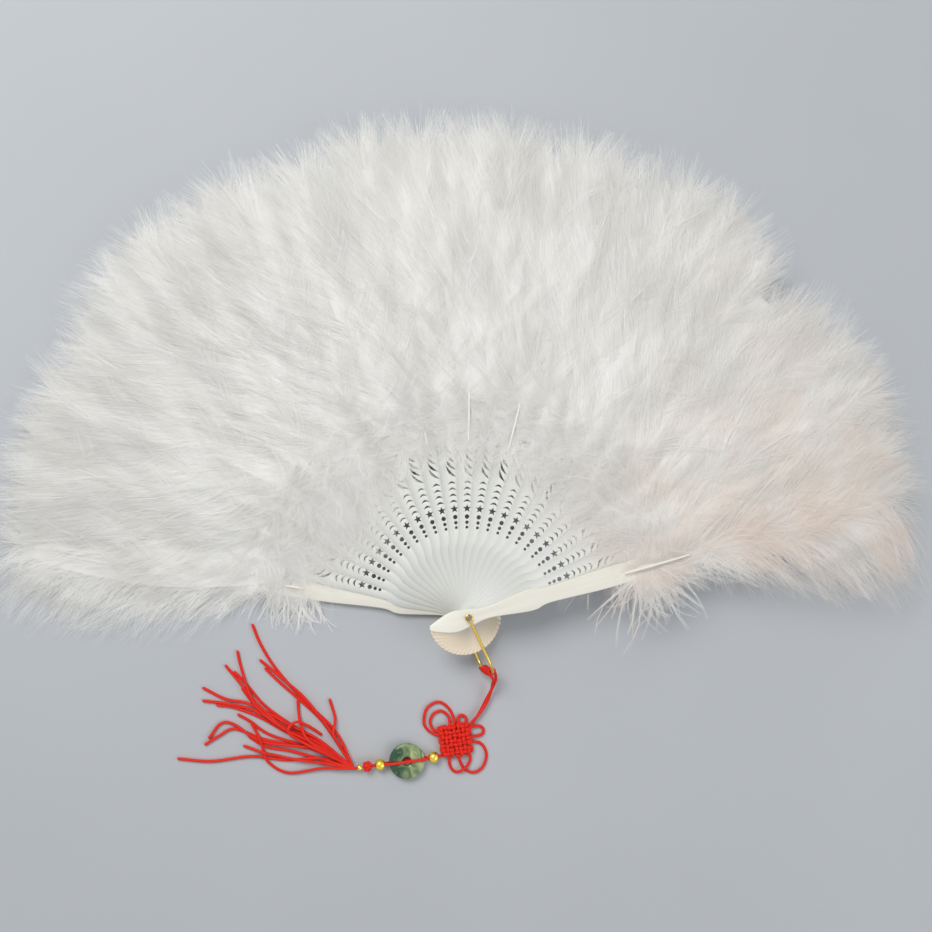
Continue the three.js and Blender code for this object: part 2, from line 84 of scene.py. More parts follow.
lens = bpy.data.cameras.new("camera")
camera = bpy.data.objects.new("camera", lens)
scene.collection.objects.link(camera)
right = Vector((math.cos(CAMERA_FROM_LEFT), 0, math.sin(CAMERA_FROM_LEFT)))
back = Vector((-math.sin(CAMERA_FROM_LEFT), 0, math.cos(CAMERA_FROM_LEFT)))
turn = Matrix((right, Vector((0, 1, 0)), back)).transposed()
aim = on_table((IMAGE_PIXELS / 2, IMAGE_PIXELS / 2))
camera.matrix_world = Matrix.Translation(aim + back * CAMERA_DISTANCE) @ turn.to_4x4()
lens.lens = lens.sensor_width * CAMERA_DISTANCE / (IMAGE_PIXELS * MM_PER_PIXEL * MM)
scene.camera = camera
print("lens", round(lens.lens, 1), "mm, aimed at", [round(x / MM) for x in aim])

# %% [markdown]
# ## Colours and nodes
# Colours are written as sRGB hex values, as a colour picker shows them, and one function turns them to
# the linear values that a shader works with. A finish could be wired by hand in the shader editor. Here a
# small function adds any node with its settings and inputs, so that a finish is a few lines that can be
# read and changed. Patterns are measured in millimetres on the object, so that their grain has a real
# size and keeps it when a piece moves.

# %% Nodes
# A Mix node has sockets for numbers, vectors and colours. These are the places of those for colours.
MIX_A, MIX_B, MIX_RESULT = 6, 7, 2


def linear(hexcode):
    """An sRGB hex colour as the linear RGBA that sockets take."""
    channels = [int(hexcode[i:i + 2], 16) / 255 for i in (1, 3, 5)]
    return [c / 12.92 if c <= 0.04045 else ((c + 0.055) / 1.055) ** 2.4 for c in channels] + [1]


def per_mm(size):
    """The texture scale, in object space, that gives a pattern of this size in millimetres."""
    return 1 / (size * MM)


def add(tree, kind, inputs=None, **settings):
    """Adds a node. Each input is a value, or another node's socket to link."""
    node = tree.nodes.new(kind)
    for name, value in settings.items():
        setattr(node, name, value)
    for socket, value in (inputs or {}).items():
        if isinstance(value, bpy.types.NodeSocket):
            tree.links.new(value, node.inputs[socket])
        else:
            node.inputs[socket].default_value = value
    return node


def new_material(name, **uniform):
    """A material with a Principled shader, whose uniform values are set on its own sockets."""
    material = bpy.data.materials.new(name)
    material.use_nodes = True
    shader = material.node_tree.nodes["Principled BSDF"]
    for socket, value in uniform.items():
        shader.inputs[socket.replace("_", " ")].default_value = value
    return material, material.node_tree, shader


print("a middle grey is", round(linear("#808080")[0], 3), "in linear light")

# %% [markdown]
# ## Red cord
# The tassel is tied from one kind of cord: braided nylon, dyed red, 1.6 mm thick, with a satin shine. The
# braid is two families of threads that wind round the core in opposite directions. Each tube made below
# carries a UV map that counts threads round it and along it, so two diagonal waves on that map draw the
# braid, both as bumps and as colour: a lit red on the threads and a painted shade of deeper red in the gaps.

# %% Braided nylon cord
CORD_D = 1.6
THREADS_ROUND = 8
THREAD_PITCH = 0.9
WAVE_PER_UNIT = 2 * math.pi / 10


def braided_nylon(name, lit, deep):
    """Smooth nylon threads. The braid paints the lit red on each thread and painted shade of the deep red in
    the gaps.
    """
    material, tree, shader = new_material(name, Roughness=0.5, IOR=1.53, Specular_IOR_Level=0.25)
    at = add(tree, "ShaderNodeTexCoord").outputs["UV"]
    families = []
    for way in (1, -1):
        wound = add(tree, "ShaderNodeMapping", {"Vector": at, "Scale": (way, 1, 1)}).outputs[0]
        waves = {"Vector": wound, "Scale": WAVE_PER_UNIT}
        families.append(add(tree, "ShaderNodeTexWave", waves, bands_direction="DIAGONAL").outputs["Fac"])
    braid = add(tree, "ShaderNodeMath", dict(enumerate(families)), operation="MAXIMUM").outputs[0]
    lit_crowns_and_shaded_gaps = {MIX_A: linear(deep), MIX_B: linear(lit)}
    colour = add(tree, "ShaderNodeMix", {0: braid, **lit_crowns_and_shaded_gaps}, data_type="RGBA")
    bump = add(tree, "ShaderNodeBump", {"Height": braid, "Strength": 0.5, "Distance": 0.12 * MM})
    tree.links.new(colour.outputs[MIX_RESULT], shader.inputs["Base Color"])
    tree.links.new(bump.outputs[0], shader.inputs["Normal"])
    return material


# Lit and deep reds: light painted on the threads, painted shade in the gaps between them.
red_cord = braided_nylon("braided_red_nylon", lit="#f5301f", deep="#c81d10")
print("threads", THREADS_ROUND, "round, pitch", THREAD_PITCH, "mm")

# %% [markdown]
# ## Smooth lines
# A cord, a quill and the edge of a blade all follow smooth lines through a few chosen points. A Bezier
# curve would need handles at every point. Here each stretch takes its direction from the points on both
# sides of it, so the points are enough.

# %% Smooth lines


def smooth_line(points, spacing):
    """A smooth line through points in mm, sampled about every spacing."""
    p = np.asarray(points, float)
    p = np.vstack([2 * p[0] - p[1], p, 2 * p[-1] - p[-2]])
    runs = []
    for a, b, c, d in zip(p, p[1:], p[2:], p[3:]):
        steps = max(2, math.ceil(np.linalg.norm(c - b) / spacing))
        t = np.linspace(0, 1, steps, endpoint=False)[:, None]
        bend = (2 * a - 5 * b + 4 * c - d) * t**2 + (3 * b - a - 3 * c + d) * t**3
        runs.append(b + 0.5 * ((c - a) * t + bend))
    return np.vstack([*runs, p[-2:-1]])


def length_along(line):
    """The length of a line up to each of its points."""
    return np.concatenate([[0], np.cumsum(np.linalg.norm(np.diff(line, axis=0), axis=1))])


square = [[0, 0, 0], [10, 0, 0], [10, 10, 0]]
print("a smooth corner of 10 and 10 mm is", round(length_along(smooth_line(square, 1))[-1], 1), "mm long")

# %% [markdown]
# ## Tubes
# A cord is a round tube along such a line. A curve object with a bevel would do, but a mesh lets each
# tube keep a UV map in real units and lets several tubes be one piece, as in the knot. The section is
# carried along the line without twisting, and both ends are rounded as a cut and melted nylon end is.

# %% Round ends
END_RINGS = ((0.98, 0.2), (0.71, 0.71), (0.0, 1.0))


def with_round_ends(line, tangents, radii):
    """The line with a few narrowing rings at both ends, and the directions and radii of all its rings."""
    shrink = [share for _, share in END_RINGS]
    starts = [line[0] - tangents[0] * radii[0] * out for out, _ in END_RINGS]
    ends = [line[-1] + tangents[-1] * radii[-1] * out for out, _ in reversed(END_RINGS)]
    first, last = [tangents[:1]] * len(shrink), [tangents[-1:]] * len(shrink)
    sizes = [np.multiply(shrink, radii[0]), radii[1:-1], np.multiply(shrink[::-1], radii[-1])]
    directions = np.vstack([*first, tangents[1:-1], *last])
    return np.vstack([*starts, line[1:-1], *ends]), directions, np.concatenate(sizes)


print("a tube's ends are rounded off in", len(END_RINGS), "rings")

# %% Tubes
NEARLY_UPRIGHT = 0.1


def tube(line, radius, sides=10):
    """Vertices, faces and UVs of a tube along a line; radius is one number or one for each point."""
    tangents = np.gradient(line, axis=0)
    tangents /= np.linalg.norm(tangents, axis=1)[:, None]
    radii = np.broadcast_to(np.asarray(radius, float), len(line))
    line, tangents, radii = with_round_ends(line, tangents, radii)
    side = np.cross(tangents[0], [0, 0, 1.0])
    if np.linalg.norm(side) < NEARLY_UPRIGHT:
        side = np.cross(tangents[0], [1.0, 0, 0])
    angles = np.linspace(0, 2 * np.pi, sides, endpoint=False)
    rings = []
    for point, tangent, r in zip(line, tangents, radii):
        side = side - tangent * (side @ tangent)
        side /= np.linalg.norm(side)
        other = np.cross(tangent, side)
        rings.append(point + r * (np.outer(np.cos(angles), side) + np.outer(np.sin(angles), other)))
    along = length_along(line) / THREAD_PITCH
    faces, uvs = [], []
    for i in range(len(line) - 1):
        for j in range(sides):
            k = (j + 1) % sides
            faces.append((i * sides + j, i * sides + k, (i + 1) * sides + k, (i + 1) * sides + j))
            u0, u1 = j / sides * THREADS_ROUND, (j + 1) / sides * THREADS_ROUND
            uvs += [(u0, along[i]), (u1, along[i]), (u1, along[i + 1]), (u0, along[i + 1])]
    for ring in (range(sides - 1, -1, -1), range((len(line) - 1) * sides, len(line) * sides)):
        faces.append(tuple(ring))
        uvs += [(0, 0)] * sides
    return np.vstack(rings), faces, uvs


def joined(*shapes):
    """Several shapes as one list of vertices, faces and UVs."""
    vertices, faces, uvs, first = [], [], [], 0
    for v, f, u in shapes:
        vertices.append(v)
        faces += [tuple(first + i for i in face) for face in f]
        uvs += u
        first += len(v)
    return np.vstack(vertices), faces, uvs


print("cords are tubes of", CORD_D / 2, "mm radius")

# %% [markdown]
# ## Pieces
# On the bench the fan is taken apart into pieces: a stick, a bead, a length of cord. In Blender each
# piece is one object. It needs a finish, the moving body that it belongs to, and the names of the solids
# that it is seen instead of. Two functions give it all that, so that no piece is left without.

# %% Pieces
SHARP_DEGREES = 40


def smoothed(mesh, sharp_degrees):
    """Shades a mesh smooth, with edges kept where two faces meet at a sharper angle."""
    mesh.shade_smooth()
    mesh.set_sharp_from_angle(angle=math.radians(sharp_degrees))


def piece_from_mesh(name, mesh, finishes, body, nodes, where=None):
    """A piece of the object: its finishes, the body it moves with, and the solids that it stands for."""
    for finish in finishes:
        mesh.materials.append(finish)
    made = bpy.data.objects.new(name, mesh)
    scene.collection.objects.link(made)
    if where:
        made.matrix_world = where
    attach(made, body)
    if nodes:
        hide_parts(*nodes)
    return made


def piece(name, shape, finish, body, slot, *nodes):
    """A piece from vertices in mm, faces and UVs."""
    vertices, faces, uvs = shape
    mesh = bpy.data.meshes.new(name)
    mesh.from_pydata((vertices * MM).tolist(), [], faces)
    if uvs:
        mesh.uv_layers.new(name="surface").data.foreach_set("uv", np.ravel(uvs))
    smoothed(mesh, SHARP_DEGREES)
    return piece_from_mesh(name, mesh, [finish], body, nodes)


def centre(node):
    """The middle of a solid's box, in mm."""
    low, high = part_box(node)
    return np.array((low + high) / 2) / MM


print("the disc's solid has its middle at", centre("disc").round(1), "mm")

# %% [markdown]
# ## The tassel's strands
# About twenty loose ends of cord spread from the small bead over the table. The routes are the ones that
# the solids follow, chosen from the photograph, as points beside the bead in millimetres. The
# first list is the strands that can be told apart; the second fills the dense part of the bundle.

# %% Strand routes
STRANDS = [
    [[-18.4, 6], [-34.1, 5], [-53.4, 7.5], [-73.9, 5.7], [-90.8, 7.5]],
    [[-17, 9.6], [-34, 13.2], [-48.6, 16.9], [-62, 22.3], [-70.3, 18.7], [-77, 14.7]],
    [[-14.8, 10.8], [-29.3, 12.6], [-47.4, 15.1], [-61.8, 24.3], [-69.1, 25.3], [-75.1, 18.1]],
    [[-17.2, 13.2], [-34.1, 21.7], [-51, 31.3], [-65.4, 35.5], [-78.1, 37.4]],
    [[-18.4, 15.7], [-36.5, 25.3], [-53.4, 34.9], [-66.6, 38], [-78.1, 44]],
    [[-17.2, 10.8], [-34.1, 20.5], [-45, 30.1], [-53.4, 38.6], [-59.4, 46.4], [-66.6, 55.4]],
    [[-17.2, 12], [-36.5, 22.5], [-49.8, 33], [-55.2, 43], [-59, 55.4], [-60.6, 62.7]],
    [[-6.4, 14.4], [-12.4, 22.9], [-29.3, 39.8], [-41.3, 54.2], [-48.6, 66.3], [-52.8, 76.5]],
    [[-7.4, 12.2], [-15.4, 24.5], [-25.5, 37.4], [-36.5, 47.5], [-48.6, 57.8]],
    [[-14.8, 9.6], [-24.5, 16.9], [-28.1, 25.3], [-29.3, 36.1]],
    [[-17.2, 0.2], [-34.1, -1.8], [-44.9, 4.8], [-48.6, 15.7], [-53.4, 25.3]],
    [[-6.4, 10.4], [-10.6, 18.3], [-9.7, 26.3], [-12.4, 36.1]],
    [[-18.4, 10.8], [-29.3, 16.4], [-34.5, 21.5], [-30.5, 25.6], [-24.5, 23.4], [-17.2, 18.1]],
    [[-20, 3.7], [-36, 6.5], [-48, 10], [-57, 13]],
]
FILL_STRANDS = [
    [[-16, 11.6], [-33, 18.6], [-49, 28], [-62, 33.4], [-71, 35]],
    [[-15.4, 13], [-32, 23.2], [-46.4, 34], [-55.6, 45], [-62, 52]],
    [[-16.6, 8.2], [-31, 13.8], [-45, 19.2], [-54, 26], [-60, 29.5]],
    [[-8.6, 13.4], [-17.2, 25.8], [-28, 36.4], [-38.6, 46], [-46, 53.4]],
    [[-17.4, 5.2], [-32.6, 9.6], [-45.6, 12.4], [-54.4, 17.8]],
    [[-16.2, 9.4], [-30.6, 17], [-42.4, 26], [-50.6, 33.2], [-58, 43]],
]
SMALL_BEAD_R = 1.6
along_pendant = centre("bead_lower") - centre("bead_upper")
along_pendant /= np.linalg.norm(along_pendant)
root = centre("bead_small") + along_pendant * (SMALL_BEAD_R + CORD_D)
print(len(STRANDS), "strands and", len(FILL_STRANDS), "in the bundle, from", root.round(1))

# %% [markdown]
# The strands leave the bead in a low pile and come down to the table. Cords can't lie inside each other,
# so they are laid one by one: where a new strand crosses an earlier one it rises over it in a long low
# hump. A simulation could drop them on the table, but it would move them off their routes.

# %% A strand's line
FLOOR_SLACK = 0.15
CORD_Z = CORD_D / 2 + FLOOR_SLACK
LINE_STEP = 1.2
BUNDLE_R = 18
PILE_LENGTH = 36
PILE_LAYERS = 3
LAYER_RISE = 1.15
ROOT_SPREAD = 4.5
ROOT_IN_BEAD = 2.2


def eased(share):
    """A share from 0 to 1 that starts and ends softly."""
    return share**2 * (3 - 2 * share)


def strand_line(points, layer):
    """A strand from the bead to its end: it leaves the bead in a pile and comes down to the table."""
    first = np.array(points[0], float)
    outwards = first / np.linalg.norm(first)
    in_bead = -along_pendant[:2] * ROOT_IN_BEAD
    flat = [in_bead, [0, 0], outwards * ROOT_SPREAD, first / 2, *points]
    line = smooth_line([[x, y, 0] for x, y in flat], LINE_STEP)
    falling = eased(np.clip(1 - length_along(line) / PILE_LENGTH, 0, 1))
    line[:, 2] = CORD_Z + layer * LAYER_RISE * falling
    near = np.clip(1 - length_along(line) / BUNDLE_R, 0, 1) ** 2
    line[:, 2] += (root[2] - line[:, 2]) * near
    line[:, :2] += root[:2]
    return line


print("cords lie", CORD_Z, "mm over the table, and piled", PILE_LAYERS, "high at the bead")

# %% Crossings
CLEAR_OF = 0.92 * CORD_D
HUMP_SLOPE = 0.3
SOFTEN = np.array([1, 2, 3, 4, 3, 2, 1]) / 16


def laid_over(line, below, free):
    """The line, raised where it is free and crosses the lines that lie below it."""
    if len(below):
        apart = np.linalg.norm(line[:, None, :2] - below[None, :, :2], axis=2)
        lift = np.sqrt(np.clip(CLEAR_OF**2 - apart**2, 0, None))
        needed = np.where(apart < CLEAR_OF, below[None, :, 2] + lift, 0).max(axis=1)
        needed = np.where(free, needed, 0)
        run = length_along(line)
        hump = (needed[None, :] - HUMP_SLOPE * np.abs(run[:, None] - run[None, :])).max(axis=1)
        raised = np.maximum(line[:, 2], hump)
        padded = np.pad(raised, len(SOFTEN) // 2, mode="edge")
        line[:, 2] = np.maximum(np.convolve(padded, SOFTEN, mode="valid"), CORD_Z)
    return line


print("where two cords cross, the upper one is", round(CLEAR_OF, 2), "mm higher")

# %% [markdown]
# Each free length of cord becomes a piece of its own.

# %% The strands


def free_cord(name, line, comes_out, far_end, *nodes):
    """A free length of the tassel's cord along a line in mm."""
    made = piece(name, tube(line, CORD_D / 2), red_cord, "tassel", "red_cord", *nodes)


laid = np.empty((0, 3))
for number, route in enumerate([*FILL_STRANDS, *STRANDS], start=1):
    line = strand_line(route, number % PILE_LAYERS)
    line = laid_over(line, laid, np.linalg.norm(line[:, :2] - root[:2], axis=1) > BUNDLE_R)
    laid = np.vstack([laid, line])
    stood_for = ["tassel_strands"] if number == 1 else []
    free_cord(f"strand_{number:02d}", line, line[0], "bare", *stood_for)
print(number, "strands, highest", round(laid[:, 2].max(), 1), "mm")

# %% [markdown]
# ## The hanging cord
# The cord is doubled. Its middle goes round the bight of the bail, and the two runs come down to the
# knot, twisted once round each other. A route for the middle of the pair is enough: each run keeps half a
# cord's width from it, on opposite sides, and the side turns as it goes.

# %% Hanging cord
BAIL_ANGLE = math.radians(-65)
BAIL_LENGTH = 34
BIGHT_Z = 11
WIRE_D = 1.6
KNOT = np.array([-4, -68.3, 2.5])
KNOT_CORNER = 8.27
HANG_ROUTE = [[15.6, -40, 5.6], [12.2, -49, 2.9], [8.4, -55.2, 2.5]]
PAIR_START = 4
WIRE_SLACK = 0.05
TURN_R = WIRE_D / 2 + CORD_D / 2 + WIRE_SLACK
TURN_STEPS = 6
TWISTS = 1.0
TWIST_STEP = 4
outwards = np.array([math.cos(BAIL_ANGLE), math.sin(BAIL_ANGLE), 0])
sideways = np.array([-outwards[1], outwards[0], 0])
bight = BAIL_LENGTH * outwards + [0, 0, BIGHT_Z]
knot_entry = KNOT + [KNOT_CORNER, KNOT_CORNER, 0]


def hanging_run(side):
    """One of the two runs: round its half of the bight's wire, then twisted with the other to the knot."""
    turns = np.linspace(0, np.pi / 2, TURN_STEPS) * side
    start = [bight + TURN_R * (-outwards * math.cos(t) + sideways * math.sin(t)) for t in turns]
    middle = smooth_line([bight + PAIR_START * outwards, *HANG_ROUTE, knot_entry], TWIST_STEP)
    angle = 2 * np.pi * TWISTS * length_along(middle) / length_along(middle)[-1]
    apart = np.outer(np.cos(angle), sideways) + np.outer(np.sin(angle), [0, 0, 1])
    return smooth_line([*start, *(middle + side * CORD_D / 2 * apart)], LINE_STEP)


free_cord("hanging_cord_right", hanging_run(1), bight, "knot", "hang_cord")
free_cord("hanging_cord_left", hanging_run(-1), bight, "knot")
print("hanging cord", round(length_along(hanging_run(-1))[-1]), "mm each run")

# %% [markdown]
# ## The cord through the disc
# Below the knot, two runs of the cord pass through a bead, part at the rim of the glass disc, cross its
# two faces and meet again in a second bead. Their route is written along the pendant, as a distance from
# the disc's middle and a height over it. One half is enough, because the other half mirrors it.

# %% Disc cord
DISC_ROUTE = [[17.7, 0.45], [14.4, 0.5], [12.15, 0.75], [9.7, 2.0], [7.7, 2.35], [3.5, 2.3], [0, 2.15]]
disc_centre = centre("disc")


def disc_run(side):
    """A run over the front of the disc, or under its back."""
    half = [disc_centre - along_pendant * x + [0, 0, side * height] for x, height in DISC_ROUTE]
    other = [disc_centre + along_pendant * x + [0, 0, side * height] for x, height in DISC_ROUTE[-2::-1]]
    return smooth_line([*half, *other], LINE_STEP)


front_run, back_run = disc_run(1), disc_run(-1)
free_cord("disc_cord_front", front_run, front_run[0], "knot", "disc_cord")
free_cord("disc_cord_back", back_run, back_run[0], "knot")
print("disc cord", round(length_along(front_run)[-1], 1), "mm each run")

# %% [markdown]
# ## The woven knot
# The square of the knot is woven: seven runs one way and seven the other, each over one and under the
# next. One cord goes to and fro for each way, so its turns show along the sides. It is pulled tight by
# hand, so no two meshes are quite alike, and the square sits a little askew. Points are needed only at
# the crossings, because a smooth line through them rises and dips by itself.

# %% The weave
KNOT_LINES = 7
KNOT_PITCH = 2.3
KNOT_CORD_D = 1.85
KNOT_HALF = (KNOT_LINES - 1) / 2 * KNOT_PITCH
KNOT_LEAST_Z = KNOT_CORD_D / 2 + 2 * FLOOR_SLACK
KNOT_SEED = 7
KNOT_SLACK = 0.26
KNOT_TURN = math.radians(7)
WEAVE_Z = 2.15
WEAVE_RISE = 1.0
WEAVE_CROWN = 0.7
TURN_OUT = 1.25
FINE_STEP = 0.6


def woven_run(way):
    """One cord to and fro across the knot: way 1 runs along X, way -1 along Y."""
    places = np.linspace(-KNOT_HALF, KNOT_HALF, KNOT_LINES)
    points = []
    for i, across in enumerate(places):
        rise = [way * WEAVE_RISE * (1 if (i + j) % 2 else -1) for j in range(KNOT_LINES)]
        row = [[along, across, up] for along, up in zip(places, rise)]
        row = [[-KNOT_HALF - TURN_OUT, across, 0], *row, [KNOT_HALF + TURN_OUT, across, 0]]
        points += row if i % 2 == 0 else row[::-1]
    line = np.array(points)
    line += np.random.default_rng(KNOT_SEED + way).normal(0, KNOT_SLACK, line.shape)
    if way < 0:
        line = line[:, [1, 0, 2]]
    off_middle = (line[:, :2] ** 2).sum(axis=1) / (2 * KNOT_HALF**2)
    line[:, 2] += WEAVE_Z + WEAVE_CROWN * (1 - off_middle).clip(0)
    x, y, z = line.T
    cos, sin = math.cos(KNOT_TURN), math.sin(KNOT_TURN)
    askew = np.column_stack([x * cos - y * sin, x * sin + y * cos, z.clip(KNOT_LEAST_Z)])
    return smooth_line(askew + [KNOT[0], KNOT[1], 0], FINE_STEP)


weave = [woven_run(1), woven_run(-1)]
print("weave of", round(sum(length_along(line)[-1] for line in weave)), "mm of cord")

# %% [markdown]
# The ears of the knot are loops that were pulled out of the weave, large ones on its left and below it,
# small ones above and on its right. They come out at the height of the weave, lie down on the table and
# cross each other, so they are laid in turn as the strands were.

# %% The ears and the knot
EAR_FALL = 7
KNOT_EARS = [
    [[-7, 2.4], [-12.8, 4], [-16.7, 9], [-15.2, 17], [-8.9, 20.3], [-3.2, 16.6], [-0.6, 10.4], [-1, 5]],
    [[-7, 4.2], [-11.6, 5.6], [-13.4, 9.6], [-11.8, 13.8], [-7.5, 15.4], [-3.8, 12.8], [-3, 8.4], [-4, 4]],
    [[1.9, 5], [1.5, 11.2], [3.7, 12.9], [5.8, 11.2], [5.2, 5]],
    [[5, 6], [13.2, 6.8], [15.6, 4.4], [13.6, 1.8], [5, 1.6]],
    [[5, -1], [13.7, -2.4], [17.1, -8.2], [15.4, -14.9], [10.8, -18.1], [5.5, -16.4], [2.4, -11], [2, -5]],
    [[-2, -5], [-3, -12.8], [0, -17.4], [4.8, -15.8], [8.2, -11], [6.4, -5]],
]


def ear(points):
    """A loop from inside the weave, down to the table and back."""
    line = smooth_line([[x, y, 0] for x, y in points], FINE_STEP)
    outside = np.clip((np.abs(line[:, :2]).max(axis=1) - KNOT_HALF) / EAR_FALL, 0, 1)
    line[:, 2] = WEAVE_Z + (CORD_Z - WEAVE_Z) * outside
    line[:, :2] += KNOT[:2]
    return line


ear_lines, ears_below = [], np.empty((0, 3))
for points in KNOT_EARS:
    line = ear(points)
    outside = np.abs(line[:, :2] - KNOT[:2]).max(axis=1) > KNOT_HALF + CORD_D
    line = laid_over(line, ears_below, outside)
    ears_below = np.vstack([ears_below, line])
    ear_lines.append(line)
knot_tubes = [tube(line, KNOT_CORD_D / 2) for line in weave] + [tube(line, CORD_D / 2) for line in ear_lines]
piece("knot_woven", joined(*knot_tubes), red_cord, "tassel", "red_cord", "knot")
print(len(ear_lines), "ears of", round(sum(length_along(line)[-1] for line in ear_lines)), "mm of cord")

# %% [markdown]
# ## The button knot
# Under the second bead the cord is tied in a small round button. Such a knot is one strand that winds
# three times round a ball and swings up and down four times, so a formula draws it. A short core fills
# its middle.

# %% Button knot
BUTTON_D = 5.4
BUTTON_CORD_D = 1.7
BUTTON_LEADS = 3
BUTTON_BIGHTS = 4
BUTTON_SWING = math.radians(50)
BUTTON_OVER = 0.3
BUTTON_STEPS = 240
BUTTON_CORE = (-2, -1, 0, 1, 2)


def facing(axis):
    """A turn that takes the Z axis to this direction."""
    return np.array(Vector((0, 0, 1)).rotation_difference(Vector(axis)).to_matrix())


def button_line():
    """The strand of the button, round and round its ball."""
    t = np.linspace(0, 2 * np.pi * BUTTON_LEADS, BUTTON_STEPS)
    swing = BUTTON_BIGHTS * t / BUTTON_LEADS
    latitude = BUTTON_SWING * np.cos(swing)
    radius = BUTTON_D / 2 - BUTTON_CORD_D / 2 + BUTTON_OVER * np.sin(2 * swing)
    ball = np.stack([np.cos(t) * np.cos(latitude), np.sin(t) * np.cos(latitude), np.sin(latitude)], axis=1)
    return (ball * radius[:, None]) @ facing(along_pendant).T + centre("tassel_knot")


core = smooth_line([centre("tassel_knot") + along_pendant * x for x in BUTTON_CORE], FINE_STEP)
button = joined(tube(button_line(), BUTTON_CORD_D / 2), tube(core, CORD_D / 2))
piece("button_knot", button, red_cord, "tassel", "red_cord", "tassel_knot")
print("button knot", BUTTON_D, "mm")

# %% [markdown]
# ## Turned shapes
# Beads, a disc, a rivet and the eyes of a bail are all round about an axis, as work from a lathe is.
# Blender's Screw or Spin tools would turn a profile too; a small function does it without a modifier to
# apply, and keeps the rings of faces even.

# %% Turned shapes


def turned(profile, steps=48, closed=True):
    """A profile of (radius, height) points, outer side upwards, carried round the Z axis."""
    p = np.asarray(profile, float)
    angles = np.linspace(0, 2 * np.pi, steps, endpoint=False)
    rounds = [np.column_stack([p[:, 0] * math.cos(a), p[:, 0] * math.sin(a), p[:, 1]]) for a in angles]
    n = len(p)
    faces = []
    for i in range(steps):
        for j in range(n if closed else n - 1):
            a, b = i * n, (i + 1) % steps * n
            k = (j + 1) % n
            faces.append((a + j, b + j, b + k, a + k))
    if not closed:
        faces.append(tuple(i * n for i in reversed(range(steps))))
        faces.append(tuple(i * n + n - 1 for i in range(steps)))
    return np.vstack(rounds), faces, []


def placed(shape, at, axis=(0, 0, 1)):
    """A shape moved to a place, with its Z axis turned to a direction."""
    vertices, faces, uvs = shape
    return vertices @ facing(axis).T + at, faces, uvs


def arc(middle, radius, start, end, steps):
    """Points on a circle, from one angle to another in degrees."""
    angles = np.radians(np.linspace(start, end, steps))
    return [[middle[0] + radius * math.cos(a), middle[1] + radius * math.sin(a)] for a in angles]


def ring_profile(diameter, hole_d, thickness, edge, steps):
    """The section of a flat ring with rounded edges."""
    inner, outer, half = hole_d / 2 + edge, diameter / 2 - edge, thickness / 2 - edge
    return [*arc((outer, -half), edge, -90, 0, steps), *arc((outer, half), edge, 0, 90, steps),
            *arc((inner, half), edge, 90, 180, steps), *arc((inner, -half), edge, 180, 270, steps)]


print("a quarter of a round edge in 5 steps:", np.round(arc((0, 0), 1, 0, 90, 5), 2).tolist())

# %% [markdown]
# ## Gold beads
# The beads are brass, turned on a lathe, polished and flash-plated with gold. The profile of a bead is an
# arc of a circle, a small rounded lip and the bore. The plating is a metal with a little noise in its
# roughness; a mirror without scuffs would look drawn.

# %% Beads
BEADS = {"bead_upper": (6, 3.0), "bead_lower": (6, 3.0), "bead_small": (3.2, 2.2)}
BEAD_STEPS = 24
LIP_SHARE = 0.05
LIP_STEPS = 5
# Real scuffs are hundredths of a millimetre wide. They are drawn as coarse as they need to be to show.
SCUFF_SIZE = 0.7


def bead_profile(diameter, bore):
    """The section of a bead, from its outside round its lips to its bore."""
    lip = LIP_SHARE * diameter
    end = math.degrees(math.acos((bore / 2 + lip) / (diameter / 2)))
    height = diameter / 2 * math.sin(math.radians(end))
    outer = arc((0, 0), diameter / 2, -end, end, BEAD_STEPS)
    return [*outer, *arc((bore / 2 + lip, height - lip), lip, 90, 180, LIP_STEPS),
            *arc((bore / 2 + lip, lip - height), lip, 180, 270, LIP_STEPS)]


def gold_plated_brass():
    """Plating copies the polished brass under it: bright and yellow, blurred a little by fine scuffs."""
    material, tree, shader = new_material("gold_plated_brass", Metallic=1.0)
    at = add(tree, "ShaderNodeTexCoord").outputs["Object"]
    fine = {"Vector": at, "Scale": per_mm(SCUFF_SIZE), "Detail": 4.0}
    scuffs = add(tree, "ShaderNodeTexNoise", fine).outputs["Fac"]
    rough = add(tree, "ShaderNodeMapRange", {"Value": scuffs, "To Min": 0.12, "To Max": 0.3})
    golds = {MIX_A: linear("#eac33c"), MIX_B: linear("#fae16a")}
    colour = add(tree, "ShaderNodeMix", {0: scuffs, **golds}, data_type="RGBA")
    bump = add(tree, "ShaderNodeBump", {"Height": scuffs, "Strength": 0.12, "Distance": 0.1 * MM})
    tree.links.new(rough.outputs[0], shader.inputs["Roughness"])
    tree.links.new(colour.outputs[MIX_RESULT], shader.inputs["Base Color"])
    tree.links.new(bump.outputs[0], shader.inputs["Normal"])
    return material


gold = gold_plated_brass()
for node, (diameter, bore) in BEADS.items():
    bead = placed(turned(bead_profile(diameter, bore)), centre(node), along_pendant)
    piece(node + "_plated", bead, gold, "tassel", "gold_plating", node)
print(len(BEADS), "beads")

# %% [markdown]
# ## The glass disc
# The disc is cast glass, coloured to pass for jade, with a soft rounded rim and four plain leaf-shaped
# bosses on each face. The body is turned. Each boss is a low mound whose outline is two arcs; sculpting
# would do, but a formula gives all eight alike, as one mould does.

# %% The disc's bosses
DISC_T = 2.8
BOSS_AT_R = 6.3
BOSS_LENGTH = 4.2
BOSS_WIDTH = 2.3
BOSS_RISE = 0.4
BOSS_SINK = 0.08
BOSS_RINGS = 6
BOSS_TOP = 0.08
BOSS_SPOKES = 24


